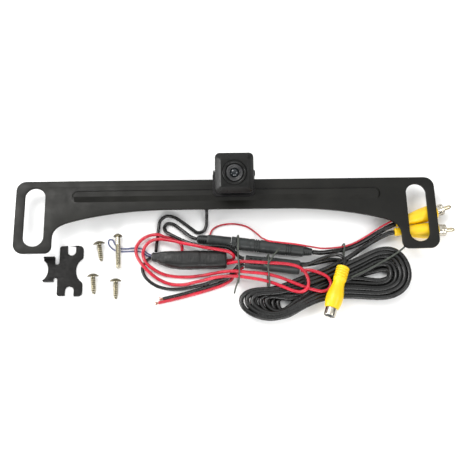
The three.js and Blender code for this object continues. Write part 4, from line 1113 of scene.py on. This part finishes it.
def make_jack():
    place = aimed((79.8, -57, 14.8), (-12, -34.8, 0))
    boot = [(0, -0.1), (1.5, -0.1), (1.6, 0.5), (3.9, 0.0), (4.5, 0.6), (4.6, 1.0), (4.6, 9.4),
            (4.35, 10.4), (4.1, 11.5),
            (4.15, 13.5), (4.6, 15.8), (5.2, 18), (5.65, 20.4), (5.9, 22.5), (5.9, 24.5), (5.75, 26.8),
            (5.35, 29),
            (4.9, 30.7), (4.5, 31.1), (0, 31.1)]
    boot = grooved(boot, (1.9, 3.8, 5.7, 7.6), 0.5, 0.8)
    obj = lathe("jack_boot", boot, place, YELLOW, 96, 0.22)
    keep(obj, "yellow_boot", "rca_jack_boot")
    names = [obj.name]
    wall = [(3.55, 32.0), (3.55, 36.6), (3.75, 36.8), (4.0, 36.7), (4.1, 36.4), (4.1, 31.4), (2.4, 31.4),
            (2.4, 32.0)]
    obj = lathe("jack_skirt", wall, place, NICKEL, 96, 0.06, ring=True)
    keep(obj, "contact_nickel", "rca_jack_shell")
    names.append(obj.name)
    disc = [(1.6, 33.0), (1.75, 36.1), (2.0, 36.4), (3.0, 36.4), (3.25, 36.2), (3.25, 32.6), (1.6, 32.6)]
    obj = lathe("jack_insulator", disc, place, GREY, 48, 0.1, ring=True)
    keep(obj, "insulator_dark", "rca_jack_insulator")
    names.append(obj.name)
    return names


PLUG_A = make_plug("a", (121.3, -22.3, 5.9), (0.956, 0.292, 0))
PLUG_B = make_plug("b", (120, -28.6, 5.9), (1, 0.027, 0))
JACK = make_jack()


# ---------------------------------------------------------------- grommet, clip plate and ties
def make_grommet():
    profile = [(0, 0), (2.2, 0), (2.2, 4.3), (2.9, 4.5), (3, 5.4), (2.4, 6.2), (1.9, 7.4), (1.35, 7.6),
               (0, 7.6)]
    obj = lathe("cord_relief", grooved(profile, (6.5,), 0.2, 0.3), aimed((-14.6, -1.7, 5.6), (0, -1, 0)),
                RUBBER, 48, 0.15)
    keep(obj, "seal_rubber", "cord_grommet")


def clip_outline():
    out = [(-5.8, 6.2), (-5.8, 16.6)]
    out += arc(-4, 16.6, 1.8, 180, 90, 6)[1:]
    out += [(-0.2, 18.4)] + arc(2.7, 14.2, 2.9, 180, 360, 14)
    out += [(5.6, 18.4), (8.4, 18.4)] + arc(8, 15.4, 3, 85, 0, 6)
    out += [(11, 10.4)] + bezier((11, 10.4), (11, 9), (10.4, 8.6), (9.6, 8), 5)[1:]
    out += bezier((9.6, 8), (5, 4.6), (5, -4.4), (9.6, -7.8), 14)[1:]
    out += bezier((9.6, -7.8), (10.4, -8.4), (11, -9.2), (11, -10.4), 5)[1:]
    out += [(11, -15.8)] + arc(8.2, -15.9, 2.8, 0, -85, 6)
    out += [(5, -18.7)] + arc(2, -14.4, 3, 0, 180, 14)
    out += [(-1, -18.2), (-5, -18.2)] + arc(-5.1, -16.6, 1.6, -90, -180, 6)[1:]
    out += [(-6.7, -6.2)] + arc(-8, -6.2, 1.3, 0, 180, 8)[1:]
    out += [(-9.3, -8), (-16.6, -8), (-16.6, -6.4)]
    out += bezier((-16.6, -6.4), (-12.4, -3), (-12.4, 4.6), (-16.6, 7.6), 12)[1:]
    out += [(-16.6, 10), (-8.8, 10), (-8.8, 6.2)] + arc(-7.3, 6.2, 1.5, 180, 352, 9)[1:]
    cx, cy = -113.4, -52.6
    return [(x + cx, y + cy) for x, y in out]


def bent_ear(name, x0, x1, y_edge, inward):
    """Ear turned up from the plate's edge, with a round bend."""
    bm = bmesh.new()
    radius, thick, height = 1.5, 1.3, 3.9
    inner, outer = [], []
    for i in range(9):
        a = i / 8 * 90 * DEG
        outer.append((y_edge + inward * (radius - radius * math.sin(a)),
                      0.25 + radius - radius * math.cos(a)))
        r = radius - thick + 0.1
        inner.append((y_edge + inward * (radius - r * math.sin(a)), 0.25 + radius - r * math.cos(a)))
    outer.append((y_edge, height - 0.3))
    outer.append((y_edge + inward * 0.3, height))
    inner.append((y_edge + inward * (radius - 0.3), height - 0.3))
    inner.append((y_edge + inward * (radius - 0.6), height))
    section = [(y, z) for y, z in outer] + [(y, z) for y, z in reversed(inner)]
    rows = [[bm.verts.new((x * MM, y * MM, z * MM)) for y, z in section]
            for x in (x0, x0 + 0.25, x1 - 0.25, x1)]
    for a, b in zip(rows, rows[1:]):
        for k in range(len(section)):
            n = (k + 1) % len(section)
            bm.faces.new((a[k], b[k], b[n], a[n]))
    bm.faces.new(rows[0])
    bm.faces.new(list(reversed(rows[-1])))
    obj = new_object(name, bm, CLIP, 40)
    return keep(obj, "clip_paint", body="clip_plate")


def make_clip():
    plate = sheet_metal("clip_blank", clip_outline(), [], 0.2, 1.7, 0.35, CLIP)
    keep(plate, "clip_paint", "clip_plate", body="clip_plate")
    bent_ear("clip_ear_upper", -130.0, -122.2, -42.6, -1)
    bent_ear("clip_ear_lower", -130.0, -122.7, -60.6, 1)


TIE_SECTIONS = {
    "bundle_tie_1": (7.3, [
        (-30, 6.4), (-31.6, 10.4), (-35.6, 12), (-43, 12), (-49, 13), (-53, 13), (-57.6, 12),
        (-61.8, 11.4), (-63.9, 8), (-63.9, 3.4), (-61, 1.1), (-50, 0.9), (-40, 0.9), (-33.4, 1), (-30.6, 2.8),
    ]),
    "bundle_tie_2": (28, [
        (-45.4, 6.6), (-46.4, 11.4), (-49.4, 14.5), (-53.2, 15.2), (-56.8, 13.6), (-62, 12), (-66.6, 11.6),
        (-67.9, 8.8), (-67.6, 3.2), (-64.8, 1), (-56, 0.85), (-49.4, 0.9), (-46.2, 2.8),
    ]),
    "bundle_tie_3": (82.6, [
        (-37, 4.2), (-37.6, 7.2), (-40.4, 8), (-43.6, 7.2), (-46.2, 5.6), (-46.4, 2.4), (-44.2, 0.9),
        (-40, 0.85), (-37.5, 1.9),
    ]),
}


def make_ties():
    """Plastic-covered wire ties, each wound once round its bundle with its ends twisted together."""
    for name, (x, section) in TIE_SECTIONS.items():
        ring = spline([(x + 0.35 * math.sin(i * 1.3), y, z) for i, (y, z) in enumerate(section)], 1.0,
                      closed=True)
        keep(wire(name + "_wire", ring, TIE_WIRE, TIE, cyclic=True), "tie_black", name)
    tails = {
        "tie_1_tail_a": [(7.3, -62.6, 10.9), (6.3, -65.2, 9.4), (4.9, -68.4, 6.4), (4.0, -71.6, 3.4)],
        "tie_2_tail_a": [(28, -53.4, 15.6), (30.6, -49.4, 15.4), (33.4, -45.6, 14.6), (36.2, -42.2, 13.2)],
        "tie_2_tail_b": [(28.2, -54.2, 15.5), (26.6, -55.6, 15.9), (24.4, -54.8, 15.8)],
    }
    for name, route in tails.items():
        keep(wire(name, spline(route, 0.8), TIE_WIRE, TIE), "tie_black")
    loose = [(85.6, -63.2, 9.7), (95.7, -58.6, 9.7), (106.7, -53, 9.7), (117.4, -47, 9.7),
             (124.6, -41.8, 9.6),
             (127.4, -38.6, 9.3)]
    keep(wire("spare_tie", spline(loose, 1.0), 1.3, TIE), "tie_black", "loose_tie")


def bare_strands(name, start, direction, count=7, length=3.2, spread=0.42, slot="pin_metal", seed=1):
    """Fine bare strands fraying from the end of a stripped wire."""
    rng = random.Random(seed)
    d = Vector(direction).normalized()
    side = d.cross(Vector((0, 0, 1))).normalized()
    up = side.cross(d)
    for i in range(count):
        a = 2 * math.pi * i / count
        base = Vector(start) + side * (0.45 * math.cos(a)) + up * (0.45 * math.sin(a)) - d * 0.6
        fray = side * (spread * math.cos(a) * 2.2) + up * (spread * math.sin(a))
        tip = base + d * length * rng.uniform(0.75, 1.1) + fray * rng.uniform(0.6, 1.5)
        tip.z = max(0.3, tip.z)
        middle = base.lerp(tip, 0.5) - fray * 0.3
        keep(wire(f"{name}_{i + 1}", spline([base, middle, tip], 0.5), 0.34, COPPER), slot)


make_grommet()
make_clip()
make_ties()
bare_strands("tap_red_strand", (-49, -77, 1.25), (-15, -3.3, 0), seed=4)
bare_strands("tap_black_strand", (-46, -74, 1.25), (-12, -2.8, 0), seed=5)
bare_strands("trigger_strand", (-12.4, -27.4, 1.4), (-1.8, -4.2, 0.3), 4, 2.2, 0.2, seed=6)


# ---------------------------------------------------------------- stage
def make_stage():
    data = bpy.data.meshes.new("floor")
    size = 6
    data.from_pydata([(-size, -size, 0), (size, -size, 0), (size, size, 0), (-size, size, 0)], [],
                     [(0, 1, 2, 3)])
    floor = bpy.data.objects.new("floor", data)
    floor.location.z = -0.00005
    bpy.context.collection.objects.link(floor)
    look = Look("pale_floor", (0.93, 0.93, 0.925), 0.75)
    data.materials.append(look.material)

    world = bpy.data.worlds.new("studio")
    bpy.context.scene.world = world
    world.use_nodes = True
    nodes, links = world.node_tree.nodes, world.node_tree.links
    background = nodes["Background"]
    background.inputs["Strength"].default_value = 1.25
    direction = nodes.new("ShaderNodeTexCoord").outputs["Generated"]
    toward = nodes.new("ShaderNodeVectorMath")
    toward.operation = "DOT_PRODUCT"
    toward.inputs[1].default_value = (-0.15, 0.5, 0.85)
    sky = nodes.new("ShaderNodeValToRGB")
    shades = [(0.0, 0.16), (0.3, 0.18), (0.6, 0.42), (0.8, 0.9), (1.0, 1.15)]
    while len(sky.color_ramp.elements) < len(shades):
        sky.color_ramp.elements.new(0.5)
    for element, (place, shade) in zip(sky.color_ramp.elements, shades):
        element.position = place
        element.color = (shade * 0.98, shade * 0.99, shade, 1)
    links.new(direction, toward.inputs[0])
    links.new(toward.outputs["Value"], sky.inputs["Fac"])
    links.new(sky.outputs["Color"], background.inputs["Color"])

    def area(name, place, size_x, size_y, power, color=(1, 1, 1)):
        light = bpy.data.lights.new(name, "AREA")
        light.shape = "RECTANGLE"
        light.size = size_x
        light.size_y = size_y
        light.energy = power
        light.color = color
        obj = bpy.data.objects.new(name, light)
        obj.location = place
        obj.rotation_euler = (Vector((0, 0, 0)) - Vector(place)).to_track_quat("-Z", "Y").to_euler()
        bpy.context.collection.objects.link(obj)

    area("key_softbox", (-0.5, 0.4, 0.95), 0.5, 0.5, 6.5, (1, 0.985, 0.96))
    area("right_softbox", (0.75, -0.3, 0.9), 0.5, 0.5, 4)
    area("front_softbox", (0.1, -1.1, 0.6), 1.2, 0.4, 12)
    area("left_strip", (-0.85, -0.1, 0.2), 0.5, 0.25, 6)


make_stage()
bpy.context.scene.view_settings.view_transform = "Standard"
